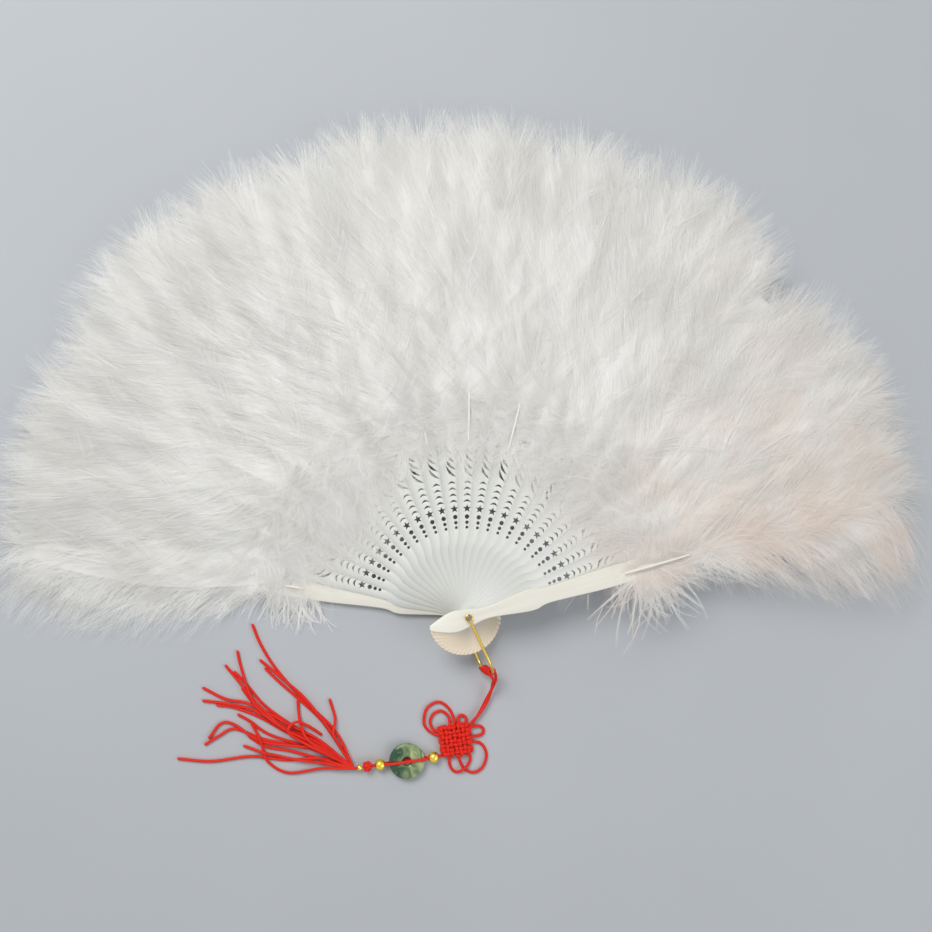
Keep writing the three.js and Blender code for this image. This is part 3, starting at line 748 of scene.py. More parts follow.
def boss(quarter, face):
    """A low leaf-shaped mound on one face of the disc."""
    angles = np.linspace(0, 2 * np.pi, BOSS_SPOKES, endpoint=False)
    leaf_edge = np.column_stack([np.cos(angles) * BOSS_LENGTH / 2, np.sin(angles) ** 3 * BOSS_WIDTH / 2])
    shares = np.linspace(1, BOSS_TOP, BOSS_RINGS)
    rise = BOSS_RISE * np.sqrt(1 - shares**2) - BOSS_SINK
    mound = np.vstack([np.column_stack([leaf_edge * share, np.full(BOSS_SPOKES, up)])
                       for share, up in zip(shares, rise)])
    turn_z = quarter * np.pi / 2 + np.pi / 4
    x, y = BOSS_AT_R + mound[:, 1], mound[:, 0]
    vertices = np.column_stack([x * math.cos(turn_z) - y * math.sin(turn_z),
                                x * math.sin(turn_z) + y * math.cos(turn_z),
                                face * (DISC_T / 2 + mound[:, 2])])
    faces = []
    for i in range(BOSS_RINGS - 1):
        for j in range(BOSS_SPOKES):
            k = (j + 1) % BOSS_SPOKES
            a, b = i * BOSS_SPOKES, (i + 1) * BOSS_SPOKES
            faces.append((a + k, a + j, b + j, b + k))
    top = (BOSS_RINGS - 1) * BOSS_SPOKES
    faces.append(tuple(reversed(range(top, top + BOSS_SPOKES))))
    faces.append(tuple(range(BOSS_SPOKES)))
    if face < 0:
        faces = [tuple(reversed(f)) for f in faces]
    return vertices, faces, []


bosses = [boss(quarter, face) for face in (1, -1) for quarter in range(4)]
print(len(bosses), "bosses of", BOSS_LENGTH, "by", BOSS_WIDTH, "mm")

# %% The disc's body
DISC_D = 19
DISC_HOLE_D = 4.6
DISC_EDGE = 0.95
DISC_STEPS = 72
DISC_EDGE_STEPS = 8
disc_body = turned(ring_profile(DISC_D, DISC_HOLE_D, DISC_T, DISC_EDGE, DISC_EDGE_STEPS), DISC_STEPS)
print("disc", DISC_D, "mm across and", DISC_T, "mm thick")

# %% [markdown]
# The glass is cloudy: swirls of dark and pale green, paler towards one side, under a polished skin. Real
# refraction would cost many light paths and hardly show in glass as cloudy as this. Light that scatters
# under the surface, and a clear coat over it, give the same look.

# %% Jade glass
JADE_STOPS = ((0.6, "#1d5028"), (1.0, "#b6c48a"))
PALER_ACROSS = 0.45
SWIRL_SIZE = 9


def cast_jade_glass():
    """Cast glass keeps the swirls of its melt: cloudy dark and pale green, paler to one side, under a
    wet, polished skin."""
    material, tree, shader = new_material(
        "cast_jade_glass", IOR=1.52, Subsurface_Weight=0.35, Subsurface_Scale=1.5 * MM,
        Subsurface_Radius=(0.5, 1.0, 0.6), Coat_Weight=0.3, Coat_Roughness=0.08)
    places = add(tree, "ShaderNodeTexCoord").outputs
    swirled = {"Vector": places["Object"], "Scale": per_mm(SWIRL_SIZE), "Detail": 3.0, "Distortion": 1.6}
    swirl = add(tree, "ShaderNodeTexNoise", swirled).outputs["Fac"]
    across = add(tree, "ShaderNodeSeparateXYZ", {0: places["Generated"]}).outputs["X"]
    melt = add(tree, "ShaderNodeMath", {0: across, 1: PALER_ACROSS, 2: swirl}, operation="MULTIPLY_ADD")
    colour = add(tree, "ShaderNodeValToRGB", {"Fac": melt.outputs[0]})
    for stop, (position, hexcode) in zip(colour.color_ramp.elements, JADE_STOPS):
        stop.position = position
        stop.color = linear(hexcode)
    rough = add(tree, "ShaderNodeMapRange", {"Value": swirl, "To Min": 0.1, "To Max": 0.22})
    tree.links.new(colour.outputs["Color"], shader.inputs["Base Color"])
    tree.links.new(rough.outputs[0], shader.inputs["Roughness"])
    return material


disc_shape = placed(joined(disc_body, *bosses), disc_centre)
disc = piece("glass_disc", disc_shape, cast_jade_glass(), "tassel", "jade_glass", "disc")
print("glass disc of", len(disc.data.polygons), "faces")

# %% [markdown]
# ## The bail
# The bail is one length of bright brass wire, bent to a long narrow loop, with its ends flattened and
# drilled to eyes. The wire is a tube on two straights and two smooth bends, with its legs a few degrees
# apart; the eyes are turned. Drawn as a curve with handles it would look the same, but its bends would
# not follow from the sizes.

# %% The bail's line
BAIL_START = 1.9
BAIL_FLAT_END = 22.5
BAIL_SHOULDER = 29.975
BAIL_SPLAY = math.radians(7)
BEND_STEPS = 16
STRAIGHT_STEPS = 8
bail_low, bail_high = (corner.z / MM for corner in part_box("bail"))


def bend(*corners):
    """A smooth bend from the first corner to the last, drawn towards the two between them."""
    a, b, c, d = (np.array([x, 0, z]) for x, z in corners)
    t = np.linspace(0, 1, BEND_STEPS)[:, None]
    return (1 - t) ** 3 * a + 3 * (1 - t) ** 2 * t * b + 3 * (1 - t) * t**2 * c + t**3 * d


def bail_line():
    """The wire from the upper eye round the bight to the lower eye. The legs stand a few degrees apart."""
    upper, lower = bail_high - WIRE_D / 2, bail_low + WIRE_D / 2
    tip = (BAIL_LENGTH, BIGHT_Z)
    down = bend((BAIL_FLAT_END, upper), (BAIL_SHOULDER, upper), (BAIL_LENGTH, (upper + BIGHT_Z) / 2), tip)
    under = bend(tip, (BAIL_LENGTH, (lower + BIGHT_Z) / 2), (BAIL_SHOULDER, lower), (BAIL_FLAT_END, lower))
    straight = np.linspace(BAIL_START, BAIL_FLAT_END, STRAIGHT_STEPS)[:-1]
    top = np.array([[x, 0, upper] for x in straight])
    bottom = np.array([[x, 0, lower] for x in straight[::-1]])
    line = np.vstack([top, down, under[1:], bottom])
    lowered = ((BIGHT_Z - line[:, 2]) / (BIGHT_Z - lower)).clip(0, 1)
    angle = BAIL_ANGLE - BAIL_SPLAY * lowered
    return np.column_stack([line[:, 0] * np.cos(angle), line[:, 0] * np.sin(angle), line[:, 2]])


print("bail of", round(length_along(bail_line())[-1]), "mm of wire")

# %% Drawn brass and the bail
WIRE_SIDES = 14
EYE_D = 4.2
EYE_HOLE_D = 2.4
EYE_T = 1.0
EYE_EDGE = 0.35
EYE_STEPS = 32
SMALL_EDGE_STEPS = 5
WEAR_SIZE = 1.2


def bright_drawn_brass():
    """Wire drawn through a die is bright, and handling dulls it a little in places."""
    material, tree, shader = new_material("bright_drawn_brass", Metallic=1.0)
    at = add(tree, "ShaderNodeTexCoord").outputs["Object"]
    worn = {"Vector": at, "Scale": per_mm(WEAR_SIZE), "Detail": 5.0}
    marks = add(tree, "ShaderNodeTexNoise", worn).outputs["Fac"]
    rough = add(tree, "ShaderNodeMapRange", {"Value": marks, "To Min": 0.12, "To Max": 0.28})
    yellows = {MIX_A: linear("#d8ac3c"), MIX_B: linear("#f4d878")}
    colour = add(tree, "ShaderNodeMix", {0: marks, **yellows}, data_type="RGBA")
    tree.links.new(rough.outputs[0], shader.inputs["Roughness"])
    tree.links.new(colour.outputs[MIX_RESULT], shader.inputs["Base Color"])
    return material


eye = turned(ring_profile(EYE_D, EYE_HOLE_D, EYE_T, EYE_EDGE, SMALL_EDGE_STEPS), EYE_STEPS)
eyes = [placed(eye, [0, 0, z]) for z in (bail_low + WIRE_D - EYE_T / 2, bail_high - WIRE_D + EYE_T / 2)]
wire_vertices, wire_faces, _ = tube(bail_line(), WIRE_D / 2, WIRE_SIDES)
bail = joined((wire_vertices, wire_faces, []), *eyes)
piece("bail_wire", bail, bright_drawn_brass(), "bail", "brass", "bail")
print(len(eyes), "eyes of", EYE_D, "mm")

# %% [markdown]
# Next to the bight the cord grips the bail with a few turns, wound side by side. They are a helix, and
# its axis is the wire itself, so the turns follow the bend of the bail.

# %% The cord's hitch on the bail
HITCH_TURNS = 3.5
HITCH_START = 1.5
HITCH_LENGTH = 6.5
HITCH_STEPS = 60


def hitch_line():
    """The cord's grip on the bail: turns wound side by side round the wire, next to its bight."""
    line = bail_line()
    run = length_along(line)
    first = run[np.argmax(np.hypot(line[:, 0], line[:, 1]))] + HITCH_START
    t = np.linspace(0, 1, HITCH_STEPS)
    middle = np.column_stack([np.interp(first + t * HITCH_LENGTH, run, line[:, axis]) for axis in range(3)])
    other = np.cross(np.gradient(middle, axis=0), sideways)
    other /= np.linalg.norm(other, axis=1)[:, None]
    angle = (2 * np.pi * HITCH_TURNS * t)[:, None]
    return middle + TURN_R * (np.cos(angle) * sideways + np.sin(angle) * other)


piece("cord_hitch", tube(hitch_line(), CORD_D / 2), red_cord, "bail", "red_cord")
print("hitch of", HITCH_TURNS, "turns,", round(length_along(hitch_line())[-1]), "mm of cord")

# %% [markdown]
# ## The rivet
# The rivet is plain steel. Its end was spread over the stack by a punch, which leaves a round edge and a
# dimple. It is turned from one profile, from the middle of its foot up the shank to the dimple in its
# head.

# %% Rivet
RIVET_FOOT_D = 3.2
RIVET_FOOT_EDGE = 0.3
RIVET_FOOT_FLAT_R = 0.3
RIVET_HEAD_D = 2.9
RIVET_HEAD_EDGE = 0.5
RIVET_HEAD_T = 0.8
RIVET_SHANK_D = 1.8
RIVET_STEPS = 32
HEAD_EDGE_STEPS = 6
DIMPLE = [[0.65, 0.03], [0.45, 0.25], [0.2, 0.35]]
TOOL_MARK_SIZE = 0.5
rivet_low, rivet_high = (corner.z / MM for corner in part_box("pivot_rivet"))


def rivet_profile():
    """Points of (radius, height) from the foot to the head; the dimple is given by its depths."""
    foot, head, shank = RIVET_FOOT_D / 2, RIVET_HEAD_D / 2, RIVET_SHANK_D / 2
    foot_top, head_z = rivet_low + RIVET_HEAD_T, rivet_high - RIVET_HEAD_T
    foot_corner = (foot - RIVET_FOOT_EDGE, rivet_low + RIVET_FOOT_EDGE)
    head_corner = (head - RIVET_HEAD_EDGE, rivet_high - RIVET_HEAD_EDGE)
    return [[RIVET_FOOT_FLAT_R, rivet_low], *arc(foot_corner, RIVET_FOOT_EDGE, -90, 0, SMALL_EDGE_STEPS),
            [foot, foot_top], [shank, foot_top], [shank, head_z], [head, head_z],
            *arc(head_corner, RIVET_HEAD_EDGE, 0, 90, HEAD_EDGE_STEPS),
            *([r, rivet_high - depth] for r, depth in DIMPLE)]


def punched_steel():
    """A punched rivet is grey and dull, with small marks from the tool."""
    material, tree, shader = new_material("punched_steel", Metallic=1.0, Base_Color=linear("#8b8880"))
    at = add(tree, "ShaderNodeTexCoord").outputs["Object"]
    small = {"Vector": at, "Scale": per_mm(TOOL_MARK_SIZE), "Detail": 6.0}
    marks = add(tree, "ShaderNodeTexNoise", small).outputs["Fac"]
    rough = add(tree, "ShaderNodeMapRange", {"Value": marks, "To Min": 0.28, "To Max": 0.5})
    bump = add(tree, "ShaderNodeBump", {"Height": marks, "Strength": 0.3, "Distance": 0.08 * MM})
    tree.links.new(rough.outputs[0], shader.inputs["Roughness"])
    tree.links.new(bump.outputs[0], shader.inputs["Normal"])
    return material


rivet = turned(rivet_profile(), RIVET_STEPS, closed=False)
piece("rivet", rivet, punched_steel(), "rear", "steel", "pivot_rivet")
print("rivet", round(rivet_high - rivet_low, 1), "mm long")

# %% [markdown]
# ## The outline of a blade
# The sticks and the guards are moulded in milky plastic, all with one outline: a rounded tail, a neck at
# the rivet, a swelling for the hand, and a narrow tongue that the quill is glued to. The outline is a few
# half widths along the blade, drawn smooth and mirrored.

# %% Outline
STICK_EDGE = [
    [-21, 0], [-20.6, 1.2], [-19.5, 1.9], [-9, 5.4], [0, 4.6],
    [11, 3.1], [33.5, 5.7], [44, 4.2], [73, 5.4], [95, 5.4],
]
TONGUE_EDGE = [[97, 1.6], [150, 1.6]]
OUTLINE_STEP = 2.0


def blade_edge():
    """The half width of a blade along its length."""
    return smooth_line([[x, half, 0] for x, half in STICK_EDGE], OUTLINE_STEP)[:, :2]


def blade_outline():
    """The outline of a blade and its tongue, once round."""
    half = np.vstack([blade_edge(), TONGUE_EDGE])
    return np.vstack([half, half[:0:-1] * [1, -1]])


print("blade outline of", len(blade_outline()), "points")

# %% [markdown]
# ## The piercing
# Each stick is pierced by the mould with a row of holes: four slanted leaves, four crescents, a star and
# three dots. They could be cut out of a solid blade with booleans. As closed loops in a flat curve they
# are exact, and their edges are rounded together with the outline. A loop is a formula.

# %% Leaves and crescents
LEAF_COUNT, LEAF_LENGTH, LEAF_PITCH, LEAF_T = 4, 7.9, 3.9, 1.2
LEAF_SLANT = math.radians(37)
LEAF_BOW = 0.9
LEAF_STEPS = 13
CRESCENT_COUNT, CRESCENT_PITCH, CRESCENT_HALF = 4, 3.3, 2.0
CRESCENT_T = 0.9
CRESCENT_DEPTH = 1.6
CRESCENT_STEPS = 15


def leaf_hole(end):
    """A slanted slot, bowed like a blade of grass and pointed at both ends."""
    t = np.linspace(0, 1, LEAF_STEPS)
    bow = LEAF_BOW * np.sin(np.pi * t)
    half = LEAF_T / 2 * np.sin(np.pi * t)
    x = (t - 0.5) * LEAF_LENGTH
    sides = np.vstack([np.column_stack([x, bow + half]), np.column_stack([x, bow - half])[-2:0:-1]])
    sides[:, 1] -= LEAF_BOW / 2
    cos, sin = math.cos(LEAF_SLANT), math.sin(LEAF_SLANT)
    return sides @ np.array([[cos, sin], [-sin, cos]]) + [end - LEAF_LENGTH / 2, 0]


def crescent_hole(end):
    """A crescent across the stick, with its horns inwards."""
    t = np.linspace(-1, 1, CRESCENT_STEPS)
    outer = np.column_stack([end - CRESCENT_DEPTH * t**2, CRESCENT_HALF * t])
    inner = outer - np.column_stack([CRESCENT_T * (1 - t**2), 0 * t])
    return np.vstack([outer, inner[-2:0:-1]])


print("points round a leaf and a crescent:", len(leaf_hole(0)), len(crescent_hole(0)))

# %% Star and dots
STAR_D = 4.4
STAR_POINTS = 5
STAR_WAIST = 0.42
DOT_STEPS = 20


def star_hole(end):
    """A star with one point outwards."""
    turns = np.pi * np.arange(2 * STAR_POINTS) / STAR_POINTS
    reach = STAR_D / 2 * np.where(np.arange(2 * STAR_POINTS) % 2, STAR_WAIST, 1)
    return np.column_stack([end - STAR_D / 2 + reach * np.cos(turns), reach * np.sin(turns)])


def round_hole(middle_r, diameter):
    """A round hole on the middle line."""
    return np.array(arc((middle_r, 0), diameter / 2, 0, 360, DOT_STEPS + 1)[:-1])


print("points round a star and a dot:", len(star_hole(0)), len(round_hole(0, 1)))

# %% [markdown]
# The row is laid out from the blade's end inwards, as it is in the mould: each hole starts a fixed gap
# after the one before it. Places could be written as a list, but then a new size would move only one hole.

# %% The row of holes
BLADE_END_R = 95
LEAF_FROM_END = 3.2
LEAF_TO_CRESCENT = 1.1
PIERCING_GAP = 0.95
DOT_DIAMETERS = [2.3, 1.8, 1.5]


def piercing():
    """The holes of a stick, one after another inwards from the end of its blade."""
    leaf_end = BLADE_END_R - LEAF_FROM_END
    holes = [leaf_hole(leaf_end - i * LEAF_PITCH) for i in range(LEAF_COUNT)]
    crescent_end = leaf_end - (LEAF_COUNT - 1) * LEAF_PITCH - LEAF_LENGTH - LEAF_TO_CRESCENT
    holes += [crescent_hole(crescent_end - i * CRESCENT_PITCH) for i in range(CRESCENT_COUNT)]
    star_end = crescent_end - (CRESCENT_COUNT - 1) * CRESCENT_PITCH - CRESCENT_DEPTH - PIERCING_GAP
    holes.append(star_hole(star_end))
    end = star_end - STAR_D - PIERCING_GAP
    for diameter in DOT_DIAMETERS:
        holes.append(round_hole(end - diameter / 2, diameter))
        end -= diameter + PIERCING_GAP
    return holes


print(len(piercing()), "holes in each stick")

# %% [markdown]
# ## Plates from flat curves
# A moulded blade is flat, with soft edges all round and in every hole. A flat curve with holes is the
# natural tool: Blender fills it, gives it thickness and rounds its edges, which a cut solid would not
# have. The curve is then turned into a mesh, and its doubled points are joined.

# %% Plates
SAME_POINT = 0.001
EDGE_RESOLUTION = 2
PLATE_SHARP_DEGREES = 50


def plate_mesh(name, loops, thickness, rounding):
    """A flat plate with soft edges: the first loop is its outline, the others are holes."""
    curve = bpy.data.curves.new(name, "CURVE")
    curve.dimensions = "2D"
    curve.fill_mode = "BOTH"
    curve.extrude = (thickness / 2 - rounding) * MM
    curve.bevel_depth = rounding * MM
    curve.bevel_resolution = EDGE_RESOLUTION
    curve.offset = -rounding * MM
    for loop in loops:
        spline = curve.splines.new("POLY")
        spline.points.add(len(loop) - 1)
        flat = np.column_stack([loop * MM, np.zeros(len(loop)), np.ones(len(loop))])
        spline.points.foreach_set("co", flat.ravel())
        spline.use_cyclic_u = True
    holder = bpy.data.objects.new(name, curve)
    mesh = bpy.data.meshes.new_from_object(holder)
    bpy.data.objects.remove(holder)
    bpy.data.curves.remove(curve)
    work = bmesh.new()
    work.from_mesh(mesh)
    bmesh.ops.remove_doubles(work, verts=work.verts, dist=SAME_POINT * MM)
    bmesh.ops.recalc_face_normals(work, faces=work.faces)
    work.to_mesh(mesh)
    work.free()
    smoothed(mesh, PLATE_SHARP_DEGREES)
    return mesh


STICK_T, STICK_ROUNDING = 0.6, 0.22
GUARD_T, GUARD_ROUNDING = 1.6, 0.55
PIVOT_HOLE_D = 2.4
pivot_hole = round_hole(0, PIVOT_HOLE_D)
stick_mesh = plate_mesh("pierced_stick", [blade_outline(), pivot_hole, *piercing()], STICK_T, STICK_ROUNDING)
guard_mesh = plate_mesh("plain_guard", [blade_outline(), pivot_hole], GUARD_T, GUARD_ROUNDING)
print("faces in a stick and a guard:", len(stick_mesh.polygons), len(guard_mesh.polygons))

# %% [markdown]
# The sticks aren't quite flat: a mould gives each a face that swells along the middle and falls off to
# its edges, as a lens does, and this is what draws the soft line between one stick and the next. A filled
# curve has no points inside its face, so straight cuts give it some, and these are then raised and
# lowered.

# %% The swell of a stick
SWELL = 0.24
EDGE_DROP = 0.26
SWELL_ENDS = 6
CUT_START_X = -18
CUT_STEP_X = 4
CUT_STEP_Y = 1.5
CUTS_EACH_SIDE = 3


def swollen(mesh, thickness):
    """Raises the upper face along the middle of the blade and lowers it at its edges."""
    work = bmesh.new()
    work.from_mesh(mesh)
    across = np.arange(CUT_START_X, BLADE_END_R, CUT_STEP_X)
    along = np.arange(-CUTS_EACH_SIDE, CUTS_EACH_SIDE + 1) * CUT_STEP_Y
    cuts = [((x * MM, 0, 0), (1, 0, 0)) for x in across] + [((0, y * MM, 0), (0, 1, 0)) for y in along]
    for at, normal in cuts:
        parts = [*work.verts, *work.edges, *work.faces]
        bmesh.ops.bisect_plane(work, geom=parts, dist=SAME_POINT * MM, plane_co=at, plane_no=normal)
    edge = blade_edge()
    for vertex in work.verts:
        x, y, z = vertex.co / MM
        half = max(np.interp(x, edge[:, 0], edge[:, 1]), CUT_STEP_Y)
        fall = min(1, (y / half) ** 2) * (SWELL + EDGE_DROP)
        share = np.clip((BLADE_END_R - x) / SWELL_ENDS, 0, 1) * max(0, z / (thickness / 2))
        vertex.co.z += (SWELL - fall) * MM * share
    work.to_mesh(mesh)
    work.free()
    smoothed(mesh, PLATE_SHARP_DEGREES)


swollen(stick_mesh, STICK_T)
print("a stick of", len(stick_mesh.polygons), "faces, raised by", SWELL, "mm")

# %% [markdown]
# ## Milky plastic
# The blades are polystyrene with a little white in it. Light goes in a way and comes out soft, and the
# skin has a satin gloss. A plain white would look like paper, so the colour follows three things: faint
# streaks where the plastic flowed, a painted shade that greys the edges of each blade, as where one
# blade lies over the next, and tails tinted yellow, partly by yellowing in the hand and partly as painted
# warm light.

# %% Moulded plastic
# The tails are tinted warm between these places along the blade, in mm: partly yellowing, partly painted warm
# light.
TAIL_TINT_FROM, TAIL_TINT_TO = 2, -14
# Painted shade greys a blade's edges, from this distance off its middle line to that one, in mm.
EDGE_SHADE_FROM, EDGE_SHADE_TO = 1.2, 5.6
FLOW_SIZE, FLOW_STREAK = 2.5, 0.12
# The real grain of the skin is about a tenth of a millimetre. It is drawn coarser, so that it shows.
GRAIN_SIZE = 0.6


def moulded_milky_plastic(name, pale, deep, shaded_edge, yellowed_warm_lit_tail):
    """Moulding leaves a satin skin with faint streaks along the flow. The edges are greyed by a painted
    shade, as where one blade lies over the next, and the tails are tinted yellow: partly yellowing, partly
    painted warm light."""
    material, tree, shader = new_material(
        name, IOR=1.59, Subsurface_Weight=0.3, Subsurface_Scale=1.2 * MM, Subsurface_Radius=(1.0, 0.9, 0.75))
    at = add(tree, "ShaderNodeTexCoord").outputs["Object"]
    drawn = add(tree, "ShaderNodeMapping", {"Vector": at, "Scale": (FLOW_STREAK, 1, 1)}).outputs[0]
    flowing = {"Vector": drawn, "Scale": per_mm(FLOW_SIZE), "Detail": 3.0}
    flow = add(tree, "ShaderNodeTexNoise", flowing).outputs["Fac"]
    whites = {MIX_A: linear(deep), MIX_B: linear(pale)}
    streaked = add(tree, "ShaderNodeMix", {0: flow, **whites}, data_type="RGBA").outputs[MIX_RESULT]
    along = add(tree, "ShaderNodeSeparateXYZ", {0: at}).outputs
    # Painted shade: towards both edges the colour goes to the shaded edge colour.
    off_middle = add(tree, "ShaderNodeMath", {0: along["Y"]}, operation="ABSOLUTE").outputs[0]
    to_edge = {"Value": off_middle, "From Min": EDGE_SHADE_FROM * MM, "From Max": EDGE_SHADE_TO * MM}
    edge_shading = add(tree, "ShaderNodeMapRange", to_edge).outputs[0]
    edge_shade_whites = {MIX_A: streaked, MIX_B: linear(shaded_edge)}
    edge_shaded = add(tree, "ShaderNodeMix", {0: edge_shading, **edge_shade_whites}, data_type="RGBA").outputs[MIX_RESULT]
    # Towards the tail the colour goes warm: partly yellowing, partly painted warm light.
    to_tail = {"Value": along["X"], "From Min": TAIL_TINT_FROM * MM, "From Max": TAIL_TINT_TO * MM}
    tail_tint = add(tree, "ShaderNodeMapRange", to_tail).outputs[0]
    tail_tints = {MIX_A: edge_shaded, MIX_B: linear(yellowed_warm_lit_tail)}
    colour = add(tree, "ShaderNodeMix", {0: tail_tint, **tail_tints}, data_type="RGBA")
    rough = add(tree, "ShaderNodeMapRange", {"Value": flow, "To Min": 0.3, "To Max": 0.46})
    grainy = {"Vector": at, "Scale": per_mm(GRAIN_SIZE), "Detail": 2.0}
    grain = add(tree, "ShaderNodeTexNoise", grainy).outputs["Fac"]
    bump = add(tree, "ShaderNodeBump", {"Height": grain, "Strength": 0.08, "Distance": 0.1 * MM})
    tree.links.new(colour.outputs[MIX_RESULT], shader.inputs["Base Color"])
    tree.links.new(rough.outputs[0], shader.inputs["Roughness"])
    tree.links.new(bump.outputs[0], shader.inputs["Normal"])
    return material


# The shaded edge colours are painted shade; the tail colours are partly yellowing and partly painted warm
# light.
stick_plastic = moulded_milky_plastic("moulded_milky_polystyrene", pale="#efeee7", deep="#e6e5dd",
                                      shaded_edge="#ced0ca", yellowed_warm_lit_tail="#fce8cd")
guard_plastic = moulded_milky_plastic("moulded_guard_polystyrene", pale="#f3efe3", deep="#e9e4d6",
                                      shaded_edge="#ebe7da", yellowed_warm_lit_tail="#f8f4e6")
print("plastics:", stick_plastic.name, "and", guard_plastic.name)

# %% [markdown]
# ## Sticks and guards
# The blades lie one over the other on the rivet, turned by equal steps: the rear guard lowest, twenty-two
# sticks, and the front guard on top. Every blade gets a mesh of its own, because each is a separate piece
# that turns by itself. Its layer is read from its solid.

# %% Blades
STICK_COUNT = 22
REAR_GUARD_ANGLE = 170.3
OPENING = 155.25
STEP_ANGLE = OPENING / (STICK_COUNT + 1)
BLADES = ["rear", *(f"stick_{i:02d}" for i in range(1, STICK_COUNT + 1)), "front"]
REAR, FRONT = 0, len(BLADES) - 1


def blade_node(index):
    """The name of a blade's solid."""
    return BLADES[index] + ("_guard" if index in (REAR, FRONT) else "")


def blade_place(index, node):
    """Where a blade lies: its angle round the rivet, and the layer that its solid has."""
    low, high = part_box(node)
    angle = math.radians(REAR_GUARD_ANGLE - STEP_ANGLE * index)
    return Matrix.Translation((0, 0, (low.z + high.z) / 2)) @ Matrix.Rotation(angle, 4, "Z")


for index, body in enumerate(BLADES):
    node = blade_node(index)
    shape, plastic = (guard_mesh, guard_plastic) if index in (REAR, FRONT) else (stick_mesh, stick_plastic)
    where = blade_place(index, node)
    piece_from_mesh(node + "_blade", shape.copy(), [plastic], body, [node], where)
print(len(BLADES), "blades,", round(STEP_ANGLE, 2), "degrees apart")

# %% [markdown]
# ## Feathers
# Each blade carries one downy feather: a quill glued along the tongue, and loose barbs that make a soft
# cloud with a hairy edge. Hair curves would be quick, but they are lost when the model is exported, so
# every barb is a narrow ribbon of a few faces. First comes the outline that a feather fills: a half width
# at each distance along the quill. The guards' outer sides hang free, so they have outlines of their own,
# and two neighbours leave a notch.

# %% The feather's outline
VANE_TIPS_R = [
    252, 254, 258, 260, 258, 270, 273, 266, 270, 266, 270, 270,
    269, 269, 272, 268, 276, 277, 266, 264, 272, 273, 266, 261,
]
FEATHER_BASE_R = 97.3
HALF_WIDTHS = [[93, 9], [105, 17], [130, 29], [165, 41], [215, 46]]
REAR_OUTER_WIDTHS = [[93, 8], [105, 17], [130, 32], [165, 42], [215, 46]]
FRONT_OUTER_WIDTHS = [[93, 8], [105, 15], [130, 24], [150, 31], [175, 43], [215, 59], [234, 63]]
NOTCH_WIDTHS = [*HALF_WIDTHS[:-1], [205, 42], [232, 26]]
CROWN_HALF, REAR_OUTER_CROWN, FRONT_OUTER_CROWN, NOTCH_CROWN = 35, 33, 55, 12
CROWN_DROP = 11
EDGE_STEP = 3
OUTER_SIDES = ((REAR, 1), (FRONT, -1))
NOTCH_SIDES = ((18, -1), (19, 1))
SIDES = {
    (REAR, 1): (REAR_OUTER_WIDTHS, REAR_OUTER_CROWN),
    (FRONT, -1): (FRONT_OUTER_WIDTHS, FRONT_OUTER_CROWN),
    **{place: (NOTCH_WIDTHS, NOTCH_CROWN) for place in NOTCH_SIDES},
}


def side_edge(index, side, tip):
    """The half width of one side of a feather along its quill, as two lists to look up."""
    widths, crown_half = SIDES.get((index, side), (HALF_WIDTHS, CROWN_HALF))
    points = [*widths, [tip - CROWN_DROP, crown_half], [tip, 0]]
    line = smooth_line([[r, half, 0] for r, half in points], EDGE_STEP)
    return line[:, 0], line[:, 1]


print("widest feather", round(2 * max(side_edge(None, 1, VANE_TIPS_R[0])[1])), "mm")

# %% [markdown]
# A feather isn't flat: its back is rounded from side to side, so that light falls off towards its edges.
# Two questions come up for every barb: how far can it go before it leaves the outline, and how high is
# the feather's back under it? Both are answered for all barbs at once, with arrays.

# %% The feather's back
LONGEST_BARB = 130
CROWN_RISE = 0.9
CROWN_FALL = 0.6
HALF_BEFORE, HALF_AFTER, LEAST_HALF = 10, 20, 8


def reach_to_edge(root_r, heading, edge):
    """How far each barb can go before it leaves the outline, in whole millimetres."""
    tries = np.arange(1.0, LONGEST_BARB)
    x = root_r[:, None] + tries * np.cos(heading)[:, None]
    y = tries * np.sin(heading)[:, None]
    inside = y < np.interp(x, *edge, left=0, right=0)
    return 1 + np.cumprod(inside, axis=1).sum(axis=1)


def crown(r, y, tip):
    """The height of the feather's rounded back over its layer."""
    half = np.interp(r, *side_edge(None, 1, tip), left=HALF_BEFORE, right=HALF_AFTER).clip(LEAST_HALF)
    return (CROWN_RISE * (1 - (y / half) ** 2)).clip(-CROWN_FALL)


print("the back is", CROWN_RISE + CROWN_FALL, "mm higher than its edges")

# %% [markdown]
# A barb is a path of a few steps. It leaves the quill at its heading, swings towards the tip as it goes,
# and lies on the feather's rounded back or stands a little off it. Barbs that grow side by side cling
# together at their ends, which gives down its soft pointed locks.

# %% Paths of barbs
BARB_STEPS = 5
BARB_SEAT = 0.12
LIFT_POWER = 0.7


def barb_paths(tip, root_r, side, heading, length, loft, curl, root_y=0.0):
    """Points along every barb: rows are barbs, columns are steps from root to end."""
    s = (np.arange(BARB_STEPS) + 0.5) / BARB_STEPS
    turn = heading[:, None] * (1 + curl[:, None] * (0.5 - s))
    step = length[:, None] / BARB_STEPS
    start = np.zeros((len(root_r), 1))
    x = root_r[:, None] + np.hstack([start, np.cumsum(step * np.cos(turn), axis=1)])
    y = side * (np.hstack([start, np.cumsum(step * np.sin(turn), axis=1)]) - np.reshape(root_y, (-1, 1)))
    rise = loft[:, None] * np.linspace(0, 1, BARB_STEPS + 1) ** LIFT_POWER
    return np.stack([x, y, crown(x, y, tip) + BARB_SEAT + rise], axis=2)


